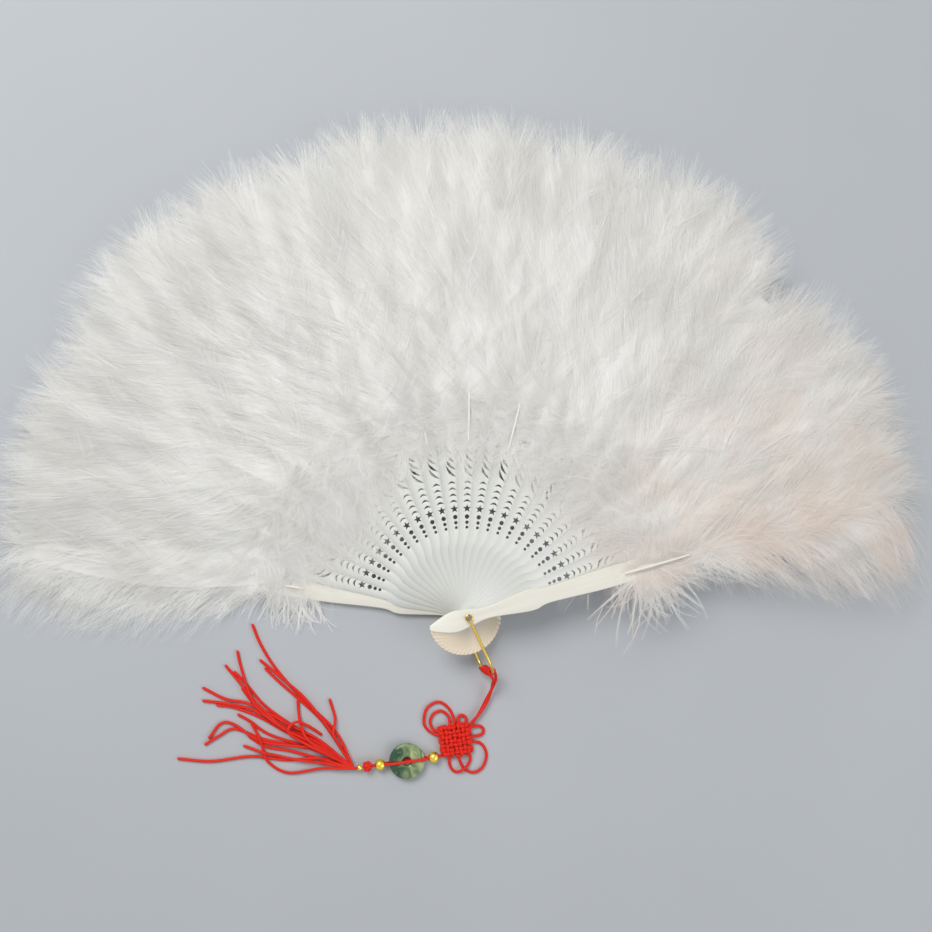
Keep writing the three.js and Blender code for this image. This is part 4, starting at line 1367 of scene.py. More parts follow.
def drawn_together(paths, kind):
    """The ends of a lock cling: each barb closes in on the middle one of its lock, and then runs along it."""
    order = np.arange(len(paths))
    leader = order // kind.size * kind.size + kind.size // 2
    closing = np.clip(np.linspace(0, 1, BARB_STEPS + 1) / kind.joined_at, 0, 1)
    share = kind.pull * eased(closing)
    return paths + (paths[leader] - paths) * share[None, :, None]


print("barbs of", BARB_STEPS, "faces")

# %% [markdown]
# Down grows by chance. Whole locks differ much from each other, and the barbs within a lock only a little,
# so random values are drawn in two ways: one for each lock, or one for each barb. Drawn for each barb
# alone, they would give an even fur without locks.

# %% Locks


class Locks:
    """Random values for barbs that grow in locks: one for a whole lock, or one for each barb."""

    def __init__(self, rng, locks, size):
        self.rng = rng
        self.locks = locks
        self.number = np.repeat(np.arange(locks), size)

    def between(self, low, high):
        """A value for each lock, anywhere between two limits."""
        return self.rng.uniform(low, high, self.locks)[self.number]

    def around(self, middle, spread):
        """A value for each lock, near a middle one."""
        return self.rng.normal(middle, spread, self.locks)[self.number]

    def each_between(self, low, high):
        """A value for each barb, anywhere between two limits."""
        return self.rng.uniform(low, high, len(self.number))

    def each_around(self, spread):
        """A change for each barb, mostly small."""
        return self.rng.normal(0, spread, len(self.number))


print("two locks of three barbs:", Locks(np.random.default_rng(0), locks=2, size=3).number)

# %% [markdown]
# ## The vane
# The vane fills the outline twice over: soft broad locks inside, and thin wisps that end at different
# distances from the edge, so that the feather thins out instead of stopping at a line. The outer sides of
# the two guards hang free; their locks stand out more squarely and curl the other way.

# %% Barbs of the vane
Vane = namedtuple("Vane", "locks size width pull joined_at first short_of inside deepest sweep curl")
SOFT = Vane(locks=66, size=18, width=1, pull=0.8, joined_at=1.3, first=0, short_of=30, inside=14,
            deepest=22, sweep=(50, 20), curl=0.4)
WISPS = Vane(locks=330, size=3, width=0.75, pull=0.7, joined_at=0.8, first=0.38, short_of=22, inside=0,
             deepest=26, sweep=(50, 20), curl=0.4)
REAR_SOFT = SOFT._replace(locks=60, inside=13, sweep=(52, 46), curl=-0.5)
REAR_WISPS = WISPS._replace(locks=370, first=0, deepest=20, sweep=(54, 48), curl=-0.65)
FRONT_SOFT = REAR_SOFT._replace(sweep=(58, 54))
FRONT_WISPS = REAR_WISPS._replace(sweep=(62, 58))
VANES = {(REAR, 1): (REAR_SOFT, REAR_WISPS), (FRONT, -1): (FRONT_SOFT, FRONT_WISPS)}
CROWDING = 0.85
VANE_ROOT_CHANGE = 2.5
VANE_LOCK_TURN, VANE_BARB_TURN, LEAST_HEADING = 9, 6, 1
BARB_SHORTER = 1.5
WISP, LONGEST_WISP = 2.6, 6
SHORTEST_BARB = 6
VANE_LOCK_LOFT, VANE_BARB_LOFT = 0.7, 0.2
CURL_SPREAD = 0.3


def vane_barbs(rng, tip, side, edge, kind):
    """Locks along the quill, wide at the base and swept forward at the tip."""
    draw = Locks(rng, kind.locks, kind.size)
    share = kind.first + (1 - kind.first) * np.sort(rng.random(kind.locks))[draw.number] ** CROWDING
    root_r = FEATHER_BASE_R + (tip - kind.short_of - FEATHER_BASE_R) * share
    root_r = root_r + draw.each_around(VANE_ROOT_CHANGE)
    turned_by = draw.around(0, VANE_LOCK_TURN) + draw.each_around(VANE_BARB_TURN)
    sweep = kind.sweep[0] + (kind.sweep[1] - kind.sweep[0]) * share
    heading = np.radians((sweep + turned_by).clip(LEAST_HEADING))
    short = kind.inside + kind.deepest * draw.between(0, 1) ** CROWDING
    short = short + rng.exponential(BARB_SHORTER, len(share))
    wisp = rng.exponential(WISP, kind.locks)[draw.number].clip(0, LONGEST_WISP)
    length = np.maximum(reach_to_edge(root_r, heading, edge) - short + wisp, SHORTEST_BARB)
    loft = np.abs(draw.around(0, VANE_LOCK_LOFT)) + np.abs(draw.each_around(VANE_BARB_LOFT))
    curl = draw.around(kind.curl, CURL_SPREAD)
    return drawn_together(barb_paths(tip, root_r, side, heading, length, loft, curl), kind)


print("barbs in one side of a vane:", sum(kind.locks * kind.size for kind in (SOFT, WISPS)))

# %% [markdown]
# ## Fluff
# Looser locks lie on top of the vane, curlier and more lifted than it. They start a little to the other
# side of the quill, and so cross it and hide it, as down does.

# %% Fluff
Lock = namedtuple("Lock", "size width pull joined_at")
FLUFF = Lock(size=10, width=0.85, pull=0.75, joined_at=1.2)
FLUFF_START_R = 108
FLUFF_SHORT_OF = 45
FLUFF_ROOT_CHANGE = 2
FLUFF_HEADING, FLUFF_SWEEP, FLUFF_BARB_TURN = (36, 16), 16, 7
FLUFF_LENGTHS = (18, 48)
LENGTH_SHARES = (0.7, 1)
FLUFF_LOFTS, FLUFF_BARB_LOFTS = (0, 2.6), (0, 0.5)
FLUFF_ACROSS, FLUFF_ACROSS_CHANGE = (0, 10), 1
FLUFF_CURL = (0.3, 0.5)


def fluff_barbs(rng, tip, side, locks, lowest):
    """Loose locks on top of the vane. They start across the quill, and so hide it."""
    draw = Locks(rng, locks, FLUFF.size)
    share = draw.between(0, 1)
    root_r = FLUFF_START_R + (tip - FLUFF_SHORT_OF - FLUFF_START_R) * share
    root_r = root_r + draw.each_around(FLUFF_ROOT_CHANGE)
    heading = draw.around(*FLUFF_HEADING) - FLUFF_SWEEP * share
    heading = np.radians(heading + draw.each_around(FLUFF_BARB_TURN))
    length = draw.between(*FLUFF_LENGTHS) * draw.each_between(*LENGTH_SHARES)
    loft = lowest + draw.between(*FLUFF_LOFTS) + draw.each_between(*FLUFF_BARB_LOFTS)
    root_y = draw.between(*FLUFF_ACROSS) + draw.each_around(FLUFF_ACROSS_CHANGE)
    curl = draw.around(*FLUFF_CURL)
    return drawn_together(barb_paths(tip, root_r, side, heading, length, loft, curl, root_y), FLUFF)


print("fluff of", FLUFF_LENGTHS, "mm in locks of", FLUFF.size)

# %% [markdown]
# ## The soft base and the veil
# At the base the barbs are softest. They spread sideways and back over the ends of the blades, so that no
# feather starts at a line, and long thin wisps blow back from there like a veil over the pierced part.
# The front guard has no veil, because its end is seen bare.

# %% Base and veil
BASE = Lock(size=10, width=0.6, pull=0.75, joined_at=1.1)
BASE_ROOTS, BASE_ROOT_CHANGE = (90, 118), 1.5
BASE_HEADINGS, FRONT_BASE_HEADINGS, BASE_BARB_TURN = (35, 178), (25, 115), 9
BASE_LENGTHS = (8, 19)
BASE_BACK = 20
BASE_LIFT = 1.0
BASE_LOFTS, BASE_BARB_LOFTS = (0.3, 2.6), (0, 0.6)
BASE_CURL = (0.1, 0.4)
VEIL = Lock(size=5, width=0.5, pull=0.5, joined_at=1.2)
VEIL_ROOTS, VEIL_ROOT_CHANGE = (86, 104), 1.5
VEIL_HEADINGS, VEIL_BARB_TURN = (125, 180), 7
VEIL_LENGTHS = (18, 48)
VEIL_LOFTS = (0.3, 1.6)
VEIL_CURL = (0, 0.35)


def base_barbs(rng, tip, side, locks, spread, headings):
    """The soft base. Locks that point back are longer."""
    draw = Locks(rng, locks, BASE.size)
    root_r = draw.between(*BASE_ROOTS) + draw.each_around(BASE_ROOT_CHANGE)
    heading = np.radians(draw.between(*headings) + draw.each_around(BASE_BARB_TURN))
    backward = np.clip(-np.cos(heading), 0, 1)
    length = (draw.between(*BASE_LENGTHS) + BASE_BACK * backward * draw.between(0, 1) ** 2) * spread
    loft = BASE_LIFT + draw.between(*BASE_LOFTS) + draw.each_between(*BASE_BARB_LOFTS)
    curl = draw.around(*BASE_CURL)
    return drawn_together(barb_paths(tip, root_r, side, heading, length, loft, curl), BASE)


def veil_barbs(rng, tip, side, locks):
    """Long thin wisps from the base that blow back over the pierced part of the blades."""
    draw = Locks(rng, locks, VEIL.size)
    root_r = draw.between(*VEIL_ROOTS) + draw.each_around(VEIL_ROOT_CHANGE)
    heading = np.radians(draw.between(*VEIL_HEADINGS) + draw.each_around(VEIL_BARB_TURN))
    length = draw.between(*VEIL_LENGTHS) * draw.each_between(*LENGTH_SHARES)
    loft = BASE_LIFT + draw.between(*VEIL_LOFTS)
    curl = draw.around(*VEIL_CURL)
    return drawn_together(barb_paths(tip, root_r, side, heading, length, loft, curl), VEIL)


print("the base spreads up to", BASE_LENGTHS[1] + BASE_BACK, "mm back, the veil up to", VEIL_LENGTHS[1], "mm")

# %% [markdown]
# ## Bursts of down at the guards
# From the outer edge of each guard hangs a burst of long loose down, which falls towards the table. It is
# made as the other barbs are, from roots beside the quill, and its locks cling to sharp points.

# %% Bursts of down
TUFT = Lock(size=6, width=1, pull=0.9, joined_at=0.6)
Burst = namedtuple("Burst", "roots headings lengths")
BURSTS = {REAR: Burst(roots=(80, 104), headings=(60, 135), lengths=(14, 25)),
          FRONT: Burst(roots=(91, 110), headings=(18, 160), lengths=(20, 45))}
TUFT_LOCKS = 95
TUFT_ROOT_CHANGE = 1.2
TUFT_BARB_TURN = 8
TUFT_LOFT = (-1.5, 2.2)
TUFT_CURL = (0, 0.7)
TUFT_ACROSS = (-4.5, -2)


def tuft_barbs(rng, tip, side, burst):
    """The burst of down at the end of a guard: locks that point out and back, and fall towards the table."""
    draw = Locks(rng, TUFT_LOCKS, TUFT.size)
    root_r = draw.between(*burst.roots) + draw.each_around(TUFT_ROOT_CHANGE)
    heading = np.radians(draw.between(*burst.headings) + draw.each_around(TUFT_BARB_TURN))
    length = draw.between(*burst.lengths) * draw.each_between(*LENGTH_SHARES)
    loft = draw.around(*TUFT_LOFT)
    curl = draw.around(*TUFT_CURL)
    root_y = draw.each_between(*TUFT_ACROSS)
    return drawn_together(barb_paths(tip, root_r, side, heading, length, loft, curl, root_y), TUFT)


print("bursts of", TUFT_LOCKS * TUFT.size, "barbs")

# %% [markdown]
# ## The barbs of one feather
# Now the barbs of one feather are gathered, first on one side of its quill and then on the other. The
# base spreads more towards both ends of the fan, and two stretches of the fan have most of the veil.
# Nothing may sink into the table or rise out of the stack, so the heights are limited at the end.

# %% Gathering barbs
FLUFF_LOCKS = 26
FLUFF_LOWEST, GUARD_LOWEST = 0.9, 2.2
BASE_LOCKS = 40
BASE_MORE = 0.45
VEIL_LOCKS = 84
VEILS = ((4.9, 2.0, 1.1), (19.2, 2.4, 0.5))
BARB_W = 0.24
FLOOR_GAP = 0.3
CEILING_Z = 36.5


def veil_share(index):
    """How much of a veil a feather has: two stretches of the fan, each with a middle, a spread and a most."""
    return sum(most * math.exp(-(((index - at) / spread) ** 2)) for at, spread, most in VEILS)


def feather_barbs(rng, index, tip, layer_z):
    """The paths of a feather's barbs, the width of each, and the number of its lock."""
    is_guard = index in (REAR, FRONT)
    lowest = GUARD_LOWEST if is_guard else FLUFF_LOWEST
    headings = FRONT_BASE_HEADINGS if index == FRONT else BASE_HEADINGS
    spread = 1 + BASE_MORE * abs(2 * index / FRONT - 1)
    groups = []
    for side in (1, -1):
        hangs_free = (index, side) in OUTER_SIDES
        edge = side_edge(index, side, tip)
        for kind in VANES.get((index, side), (SOFT, WISPS)):
            groups.append((vane_barbs(rng, tip, side, edge, kind), kind))
        if hangs_free:
            groups.append((tuft_barbs(rng, tip, side, BURSTS[index]), TUFT))
        groups.append((fluff_barbs(rng, tip, side, FLUFF_LOCKS * (1 + is_guard), lowest), FLUFF))
        if index == FRONT or not hangs_free:
            groups.append((base_barbs(rng, tip, side, BASE_LOCKS, spread, headings), BASE))
        if index != FRONT and not hangs_free:
            groups.append((veil_barbs(rng, tip, side, round(VEIL_LOCKS * veil_share(index))), VEIL))
    paths = np.vstack([barbs for barbs, _ in groups])
    widths = np.concatenate([np.full(len(barbs), kind.width * BARB_W) for barbs, kind in groups])
    ends = np.cumsum([len(barbs) for barbs, _ in groups])
    locks = np.concatenate([end - len(barbs) + np.arange(len(barbs)) // kind.size
                            for end, (barbs, kind) in zip(ends, groups)])
    paths[:, :, 2] = paths[:, :, 2].clip(FLOOR_GAP - layer_z, CEILING_Z - layer_z)
    return paths, widths, locks


EXAMPLE = 1
example_paths, _, _ = feather_barbs(np.random.default_rng(0), EXAMPLE, VANE_TIPS_R[EXAMPLE], layer_z=5)
print("barbs in a feather:", len(example_paths))

# %% [markdown]
# ## Ribbons
# Every path becomes a ribbon. A real barb is a thread about a tenth of a millimetre thick, which would
# not show, so the ribbons are drawn a few times wider, and thinner towards the end. A ribbon stands for
# threads inside a cloud, so it is shaded as a part of the cloud's round surface is, and not as a flat
# strip.

# %% Ribbons
BARB_TIP_SHARE = 0.25
RIBBON_TILT = 0.3
BARB_JITTER = 0.06
LOCK_JITTER = 0.12
TIP_LEAN, TIP_LENGTH = 0.35, 45
SIDE_LEAN = 0.4
NOT_ZERO = 1e-9
BARB_POINTS = 2 * (BARB_STEPS + 1)


def ribbons(rng, paths, widths):
    """Narrow ribbons along the paths, each turned a little about its length: vertices and faces."""
    tangents = np.gradient(paths, axis=1)
    across = np.stack([-tangents[:, :, 1], tangents[:, :, 0], np.zeros(paths.shape[:2])], axis=2)
    across /= np.linalg.norm(across, axis=2)[:, :, None] + NOT_ZERO
    tilt = rng.normal(0, RIBBON_TILT, len(paths))
    across *= np.cos(tilt)[:, None, None]
    across[:, :, 2] = np.sin(tilt)[:, None]
    taper = 1 - (1 - BARB_TIP_SHARE) * np.linspace(0, 1, BARB_STEPS + 1)
    offset = across * (widths[:, None] / 2 * taper)[:, :, None]
    vertices = np.stack([paths - offset, paths + offset], axis=2).reshape(-1, 3)
    one = np.array([[2 * i, 2 * i + 2, 2 * i + 3, 2 * i + 1] for i in range(BARB_STEPS)])
    first = np.arange(len(paths)) * BARB_POINTS
    return vertices, (first[:, None, None] + one[None]).reshape(-1, 4)


def cloud_normals(rng, vertices, locks, tip):
    """The direction that the surface of the cloud faces at each point, with a change from lock to lock."""
    widest = HALF_WIDTHS[-1][1]
    jitter = rng.normal(0, LOCK_JITTER, (locks[-1] + 1, 2))[locks]
    jitter = jitter + rng.normal(0, BARB_JITTER, (len(locks), 2))
    jitter = np.repeat(jitter, BARB_POINTS, axis=0)
    lean_x = TIP_LEAN * np.clip((vertices[:, 0] - tip + TIP_LENGTH) / TIP_LENGTH, 0, 1)
    lean_y = SIDE_LEAN * vertices[:, 1] / widest
    normals = np.column_stack([lean_x + jitter[:, 0], lean_y + jitter[:, 1], np.ones(len(vertices))])
    return normals / np.linalg.norm(normals, axis=1)[:, None]


print("ribbons", BARB_W, "mm wide, of", BARB_POINTS, "points")

# %% [markdown]
# ## The web and the quill
# Under the loose barbs lies the web of the feather, where the barbs hold together. It is drawn as one
# thin curved sheet, smaller than the outline, so that the cloud isn't see-through in its middle. The
# quill is a thin tube. Most quills are buried in down; a few show for a short way above the blades.

# %% The web
WEB_SHARE = 0.76
OUTER_WEB_SHARE = 0.16
WEB_START_R = 97
WEB_SHORT = 32
WEB_ROWS = 24
WEB_COLUMNS = 12


def web(index, tip):
    """A sheet in rows along the quill, with its own width on each side."""
    r = np.linspace(WEB_START_R, tip - WEB_SHORT, WEB_ROWS)
    u = np.linspace(-1, 1, WEB_COLUMNS + 1)
    halves = {}
    for side in (1, -1):
        share = OUTER_WEB_SHARE if (index, side) in OUTER_SIDES else WEB_SHARE
        halves[side] = np.interp(r, *side_edge(index, side, tip)) * share
    x = r[:, None] + 0 * u
    y = np.where(u > 0, halves[1][:, None], halves[-1][:, None]) * u
    vertices = np.stack([x, y, crown(x, y, tip)], axis=2).reshape(-1, 3)
    n = WEB_COLUMNS + 1
    faces = [(i * n + j, (i + 1) * n + j, (i + 1) * n + j + 1, i * n + j + 1)
             for i in range(WEB_ROWS - 1) for j in range(WEB_COLUMNS)]
    return vertices, np.array(faces)


print("the web has", WEB_SHARE, "of the outline's width")

# %% The quill's shaft
QUILL_D = 1.1
QUILL_END_D = 0.35
QUILL_SHARES = np.array([1, 0.8, 0])
QUILL_SIDES = 8
QUILL_STEP = 4
QUILL_DIVE = 12
QUILL_Z = 0.2
BARE_QUILLS = {REAR: (86, 96), 10: (92, 99), 12: (92, 117), 14: (90, 116), FRONT: (86, 122)}
HIDDEN_QUILL = (98, 100)
BARE_LIFT = 2.2


def quill(index, tip, seat):
    """The shaft: it lies on the blade, dives into the feather and thins towards the tip."""
    first, last = BARE_QUILLS.get(index, HIDDEN_QUILL)
    lift = BARE_LIFT if index in BARE_QUILLS else -seat / 2
    buried, end = last + QUILL_DIVE, tip - CROWN_DROP
    points = [[first, 0, seat + lift / 2], [(first + last) / 2, 0, seat + lift], [last, 0, seat + lift / 2],
              [buried, 0, QUILL_Z], [end, 0, QUILL_Z]]
    line = smooth_line(points, QUILL_STEP)
    radius = np.interp(line[:, 0], [first, buried, end], QUILL_SHARES * QUILL_D / 2)
    vertices, faces, _ = tube(line, radius.clip(QUILL_END_D / 2), QUILL_SIDES)
    return vertices, faces


print("quills", QUILL_D, "mm thick, of which", len(BARE_QUILLS), "show")

# %% [markdown]
# ## The finish of down
# Down is clear keratin so fine that light is scattered again and again, so it looks bright, matt and
# soft, and some light comes through. A diffuse surface mixed with a translucent one does that, and about
# half of the light that would make a hard shadow goes on to the barbs below. Each lock has its own shade,
# and soft clouds run along the feathers. Feathers on the right get pink patches of painted warm light. The
# clouds are noise in four dimensions: the feather's number is the fourth, so that no two feathers have the
# same ones.

# %% Down
TRANSLUCENCY = 0.15
LIGHT_THROUGH = 0.55
CLOUD_SIZE, PATCH_SIZE = 14, 34
CLOUD_STRETCH = 0.3
NOISE_RANGE = {"From Min": 0.35, "From Max": 0.65}


def bleached_down():
    """Washed and bleached down: matt and even, with hardly any gloss."""
    material, tree, shader = new_material("bleached_down", Roughness=0.9, IOR=1.55, Specular_IOR_Level=0.2)
    stored = [add(tree, "ShaderNodeAttribute", attribute_name=name) for name in ("shade", "warm_light", "number")]
    shade, warm_light, number = (node.outputs["Fac"] for node in stored)
    at = add(tree, "ShaderNodeTexCoord").outputs["Object"]
    drawn = add(tree, "ShaderNodeMapping", {"Vector": at, "Scale": (CLOUD_STRETCH, 1, 1)}).outputs[0]
    cloudy = {"Vector": drawn, "W": number, "Scale": per_mm(CLOUD_SIZE), "Detail": 3.0}
    clouds = add(tree, "ShaderNodeTexNoise", cloudy, noise_dimensions="4D").outputs["Fac"]
    mottled = {"Value": clouds, **NOISE_RANGE, "To Min": -0.34, "To Max": 0.34}
    mottle = add(tree, "ShaderNodeMapRange", mottled).outputs[0]
    tone = add(tree, "ShaderNodeMath", {0: shade, 1: mottle}, operation="ADD", use_clamp=True).outputs[0]
    whites = {MIX_A: linear("#e1e0dc"), MIX_B: linear("#faf9f6")}
    white = add(tree, "ShaderNodeMix", {0: tone, **whites}, data_type="RGBA").outputs[MIX_RESULT]
    broad = {"Vector": at, "W": number, "Scale": per_mm(PATCH_SIZE), "Detail": 1.0}
    patches = add(tree, "ShaderNodeTexNoise", broad, noise_dimensions="4D").outputs["Fac"]
    uneven = {"Value": patches, **NOISE_RANGE, "To Min": 0.4, "To Max": 1.5}
    patchy = add(tree, "ShaderNodeMapRange", uneven).outputs[0]
    # Painted warm light: a pink tint in patches, strongest on the feathers on the right.
    warm_light_share = add(tree, "ShaderNodeMath", {0: warm_light, 1: patchy}, operation="MULTIPLY", use_clamp=True)
    warmer = {MIX_A: white, MIX_B: linear("#efe1d6")}
    warm = add(tree, "ShaderNodeMix", {0: warm_light_share.outputs[0], **warmer}, data_type="RGBA").outputs[MIX_RESULT]
    tree.links.new(warm, shader.inputs["Base Color"])
    glow = add(tree, "ShaderNodeBsdfTranslucent", {"Color": warm})
    both = add(tree, "ShaderNodeMixShader", {0: TRANSLUCENCY, 1: shader.outputs[0], 2: glow.outputs[0]})
    shadow_ray = add(tree, "ShaderNodeLightPath").outputs["Is Shadow Ray"]
    passing = add(tree, "ShaderNodeMath", {0: shadow_ray, 1: LIGHT_THROUGH}, operation="MULTIPLY")
    clear = add(tree, "ShaderNodeBsdfTransparent")
    lit = add(tree, "ShaderNodeMixShader", {0: passing.outputs[0], 1: both.outputs[0], 2: clear.outputs[0]})
    tree.links.new(lit.outputs[0], tree.nodes["Material Output"].inputs["Surface"])
    return material


down = bleached_down()
print("down lets", LIGHT_THROUGH, "of the light through")

# %% [markdown]
# ## The finish of a quill
# A quill is horn, the stuff of nails: ivory, smooth and slightly glossy. It grew lengthwise, so faint
# streaks run along it. They are fine noise, drawn out twenty times in that direction.

# %% Quill
# Real streaks are finer than a tenth of a millimetre. They are drawn coarser, so that they show.
STREAK_SIZE = 0.5
STREAK_STRETCH = 0.05


def quill_keratin():
    """Ivory horn, smooth and slightly glossy, with faint streaks along it."""
    material, tree, shader = new_material("quill_keratin", IOR=1.55, Roughness=0.38)
    at = add(tree, "ShaderNodeTexCoord").outputs["Object"]
    drawn = add(tree, "ShaderNodeMapping", {"Vector": at, "Scale": (STREAK_STRETCH, 1, 1)}).outputs[0]
    fine = {"Vector": drawn, "Scale": per_mm(STREAK_SIZE), "Detail": 2.0}
    streaks = add(tree, "ShaderNodeTexNoise", fine).outputs["Fac"]
    ivories = {MIX_A: linear("#f4efe0"), MIX_B: linear("#fcfaf2")}
    colour = add(tree, "ShaderNodeMix", {0: streaks, **ivories}, data_type="RGBA")
    tree.links.new(colour.outputs[MIX_RESULT], shader.inputs["Base Color"])
    return material


keratin = quill_keratin()
print("streaks", STREAK_SIZE, "mm wide and", round(STREAK_SIZE / STREAK_STRETCH), "mm long")

# %% [markdown]
# ## A flat map of a feather
# A game engine doesn't know these nodes, so the colours have to be painted to a picture later on. For
# that every point needs a place on a flat map. Unwrapping thousands of ribbons by hand is hopeless, but
# they are all alike: each barb gets a small cell of its own in a grid, and the web and the quill share a
# strip below it.

# %% The map
MAP_STRIP = 0.1
MAP_MARGIN = 0.15
STRIP_USED = 0.9
HALF_STRIP, HALF_USED = 0.5, 0.45


def map_cells(barbs, web_count, quill_count):
    """A place on a flat map for every point of a feather's barbs, web and quill."""
    columns = math.ceil(math.sqrt(barbs))
    rows = math.ceil(barbs / columns)
    across = np.tile([MAP_MARGIN, 1 - MAP_MARGIN], BARB_STEPS + 1)
    along = np.repeat(MAP_MARGIN + (1 - 2 * MAP_MARGIN) * np.linspace(0, 1, BARB_STEPS + 1), 2)
    row, column = np.divmod(np.arange(barbs), columns)
    u = (column[:, None] + across) / columns
    v = MAP_STRIP + (1 - MAP_STRIP) * (row[:, None] + along) / rows
    barb_map = np.column_stack([u.ravel(), v.ravel()])
    row, column = np.divmod(np.arange(web_count), WEB_COLUMNS + 1)
    web_map = np.column_stack([HALF_USED * row / WEB_ROWS, STRIP_USED * MAP_STRIP * column / WEB_COLUMNS])
    ring, spoke = np.divmod(np.arange(quill_count), QUILL_SIDES)
    quill_u = HALF_STRIP + HALF_USED * ring / ring.max()
    quill_map = np.column_stack([quill_u, STRIP_USED * MAP_STRIP * spoke / QUILL_SIDES])
    return np.vstack([barb_map, web_map, quill_map])


def store_map(mesh, places):
    """Stores the flat map, which has a place for every corner of every face."""
    corner_points = np.empty(len(mesh.loops), np.int32)
    mesh.loops.foreach_get("vertex_index", corner_points)
    mesh.uv_layers.new(name="OFBake").data.foreach_set("uv", places[corner_points].ravel())


print("the grid for", len(example_paths), "barbs is", math.ceil(math.sqrt(len(example_paths))), "cells wide")

# %% [markdown]
# ## All the feathers
# A feather's mesh is its ribbons, its web and its quill. Few feathers are quite straight, so most are bent
# a little to one side; those on the guards and beside the notch aren't, because they draw the fan's
# outline. The shade of each lock and barb is stored on its points, where the material reads it.

# %% Bends and shades
BEND_LENGTH = 160
# How much painted warm light the feathers get: little up to this feather, most on the front one.
FIRST_WARM_LIT = 15
MOST_WARM_LIGHT = 0.42
LEAST_WARM_LIGHT = 0.04
LOCK_SHARE = 0.6
PLAIN_SHADE = 0.5


def bent(points, aside):
    """The points of a feather whose tip lies this far to one side."""
    moved = np.array(points, float)
    moved[..., 1] += aside * ((moved[..., 0] - FEATHER_BASE_R) / BEND_LENGTH).clip(0) ** 2
    return moved


def store_tones(mesh, rng, index, locks):
    """Stores the shade of every barb, the share of painted warm light on its feather, and the feather's
    number.
    """
    tones = LOCK_SHARE * rng.random(locks[-1] + 1)[locks] + (1 - LOCK_SHARE) * rng.random(len(locks))
    shade = np.full(len(mesh.vertices), PLAIN_SHADE)
    shade[:len(locks) * BARB_POINTS] = np.repeat(tones, BARB_POINTS)
    warm_light = LEAST_WARM_LIGHT + MOST_WARM_LIGHT * np.clip((index - FIRST_WARM_LIT) / (FRONT - FIRST_WARM_LIT), 0, 1) ** 2
    for name, values in (("shade", shade), ("warm_light", warm_light + 0 * shade), ("number", index + 0 * shade)):
        mesh.attributes.new(name, "FLOAT", "POINT").data.foreach_set("value", values)


print("warmth from", LEAST_WARM_LIGHT, "to", round(LEAST_WARM_LIGHT + MOST_WARM_LIGHT, 2), "on the front feather")

# %% One feather
FIRST_SEED = 100
BEND = 5.0
STRAIGHT = {REAR, FRONT, *(index for index, _ in NOTCH_SIDES)}


def feather_mesh(index, tip, layer_z, seat):
    """A feather as a mesh, with down as its first material and the quill's as its second."""
    rng = np.random.default_rng(FIRST_SEED + index)
    aside = 0 if index in STRAIGHT else rng.normal(0, BEND)
    paths, widths, locks = feather_barbs(rng, index, tip, layer_z)
    barb_vertices, barb_faces = ribbons(rng, bent(paths, aside), widths)
    web_vertices, web_faces = web(index, tip)
    quill_vertices, quill_faces = quill(index, tip, seat)
    plain_vertices = bent(np.vstack([web_vertices, quill_vertices]), aside)
    first_web = len(barb_vertices)
    first_quill = first_web + len(web_vertices)
    faces = [*barb_faces.tolist(), *(web_faces + first_web).tolist(),
             *(tuple(first_quill + i for i in face) for face in quill_faces)]
    mesh = bpy.data.meshes.new(f"feather_{index:02d}")
    mesh.from_pydata(np.vstack([barb_vertices, plain_vertices]) * MM, [], faces)
    store_tones(mesh, rng, index, locks)
    is_quill = np.arange(len(faces)) >= len(barb_faces) + len(web_faces)
    mesh.polygons.foreach_set("material_index", is_quill.astype(np.int32))
    store_map(mesh, map_cells(len(paths), len(web_vertices), len(quill_vertices)))
    mesh.shade_smooth()
    normals = np.vstack([cloud_normals(rng, barb_vertices, locks, tip), np.zeros_like(plain_vertices)])
    mesh.normals_split_custom_set_from_vertices(normals.tolist())
    return mesh


print("straight feathers:", sorted(STRAIGHT))

# %% [markdown]
# On the real fan the feathers are glued to the tongues one after another, each over the edge of the one
# before. When the fan is shut, all of them lie in one stack and are pressed flat. The front one isn't,
# because nothing lies on it.

# %% All the feathers
faces_made = 0
for index, (body, tip) in enumerate(zip(BLADES, VANE_TIPS_R)):
    node = body + "_feather" if index in (REAR, FRONT) else body.replace("stick", "feather")
    where = blade_place(index, node)
    layer_z = where.translation.z / MM
    blade_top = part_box(blade_node(index))[1].z / MM
    mesh = feather_mesh(index, tip, layer_z, blade_top - layer_z + QUILL_D / 2)
    made = piece_from_mesh(node + "_down", mesh, [down, keratin], body, [node], where)
    if index != FRONT:
        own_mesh(made)
    faces_made += len(mesh.polygons)
print(len(BLADES), "feathers of", faces_made, "faces in all")

# %% [markdown]
# ## The floor
# The fan lies on a plain pale grey board, so that white down stands out from it. One large face is
# enough, painted matt, with a cloudiness so faint that it only keeps the grey from looking dead.

# %% Floor
FLOOR_HALF = 3.0
FLOOR_CORNERS = ((-1, -1), (1, -1), (1, 1), (-1, 1))
FLOOR_CLOUDS = 180


def painted_board():
    """A floor of smooth painted board: matt, with a very faint cloudiness."""
    material, tree, shader = new_material("painted_board", Roughness=0.7)
    at = add(tree, "ShaderNodeTexCoord").outputs["Object"]
    clouds = add(tree, "ShaderNodeTexNoise", {"Vector": at, "Scale": per_mm(FLOOR_CLOUDS), "Detail": 2.0})
    greys = {MIX_A: linear("#b8bbbe"), MIX_B: linear("#c0c3c6")}
    colour = add(tree, "ShaderNodeMix", {0: clouds.outputs["Fac"], **greys}, data_type="RGBA")
    tree.links.new(colour.outputs[MIX_RESULT], shader.inputs["Base Color"])
    return material


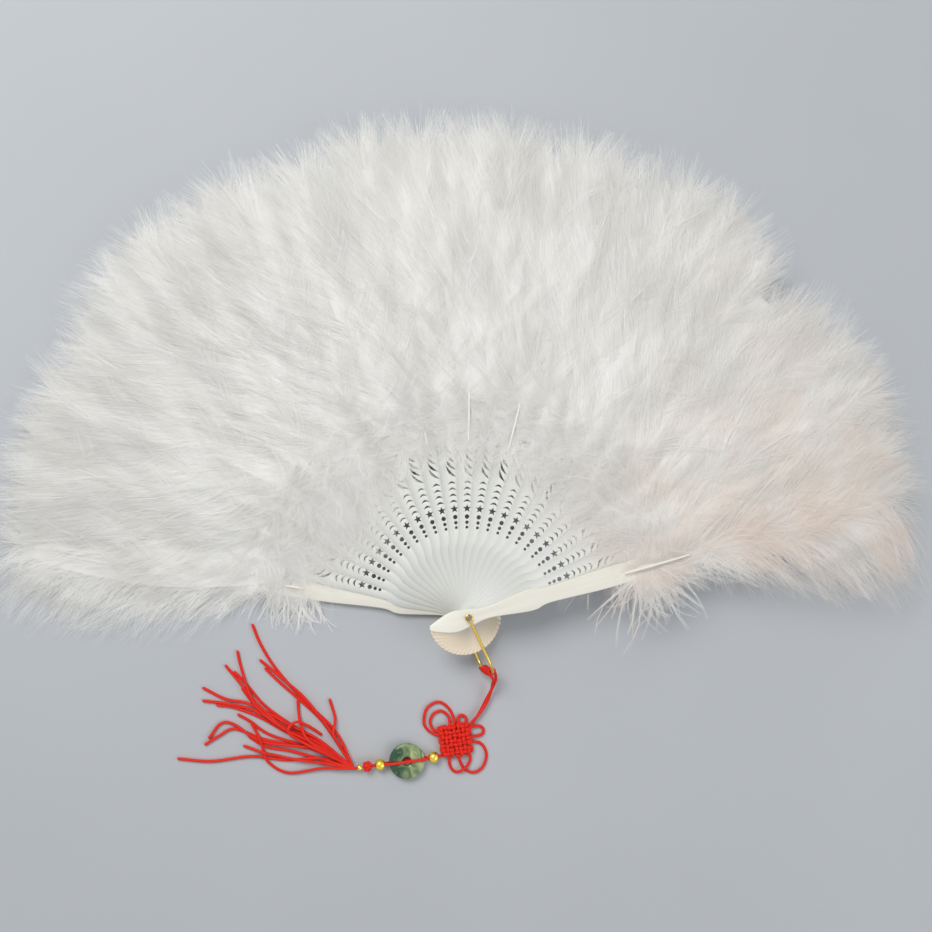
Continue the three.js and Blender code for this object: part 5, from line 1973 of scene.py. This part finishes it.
floor_mesh = bpy.data.meshes.new("floor")
floor_mesh.from_pydata([(FLOOR_HALF * x, FLOOR_HALF * y, 0) for x, y in FLOOR_CORNERS], [], [(0, 1, 2, 3)])
floor_mesh.materials.append(painted_board())
floor = bpy.data.objects.new("floor", floor_mesh)
scene.collection.objects.link(floor)
print("floor of", 2 * FLOOR_HALF, "by", 2 * FLOOR_HALF, "m")

# %% [markdown]
# ## Lamps
# A large soft lamp hangs over the fan, a little to the upper left, and a weaker one on the other side
# keeps the shadows open. A lamp's size sets how soft its shadows are, so both are broad discs, as a
# photographer's are.

# %% Lamps
Lamp = namedtuple("Lamp", "name at size watts")
LAMPS = (Lamp("softbox", at=(-0.55, 0.75, 1.1), size=0.7, watts=11.4),
         Lamp("fill", at=(0.9, -0.4, 0.9), size=1.0, watts=4))
LIT_POINT = Vector((0, 0.1, 0))
for lamp in LAMPS:
    light = bpy.data.lights.new(lamp.name, "AREA")
    light.shape = "DISK"
    light.size = lamp.size
    light.energy = lamp.watts
    made = bpy.data.objects.new(lamp.name, light)
    made.location = lamp.at
    made.rotation_euler = (LIT_POINT - Vector(lamp.at)).to_track_quat("-Z", "Y").to_euler()
    scene.collection.objects.link(made)
print("lamps:", [f"{lamp.name} {lamp.watts} W" for lamp in LAMPS])

# %% [markdown]
# ## The sky
# Light also comes from all round, as in a white room. The lamps and the sky add up to a plain level, at
# which a white card would look just white. What the camera, a shine or clear glass sees of the sky may be
# brighter than the light that it gives, so that metal and glass have something bright to mirror.

# %% Sky
SKY_LIGHT = 0.46
SKY_SEEN = 0.95
world = bpy.data.worlds.new("studio")
world.use_nodes = True
scene.world = world
tree = world.node_tree
background = tree.nodes["Background"]
background.inputs["Color"].default_value = linear("#e9edf2")
rays = add(tree, "ShaderNodeLightPath").outputs
direct = {0: rays["Is Camera Ray"], 1: rays["Is Glossy Ray"]}
mirrored = add(tree, "ShaderNodeMath", direct, operation="MAXIMUM").outputs[0]
through = {0: mirrored, 1: rays["Is Transmission Ray"]}
in_view = add(tree, "ShaderNodeMath", through, operation="MAXIMUM").outputs[0]
strength = add(tree, "ShaderNodeMapRange", {"Value": in_view, "To Min": SKY_LIGHT, "To Max": SKY_SEEN})
tree.links.new(strength.outputs[0], background.inputs["Strength"])
print("the sky gives", SKY_LIGHT, "and shows", SKY_SEEN)
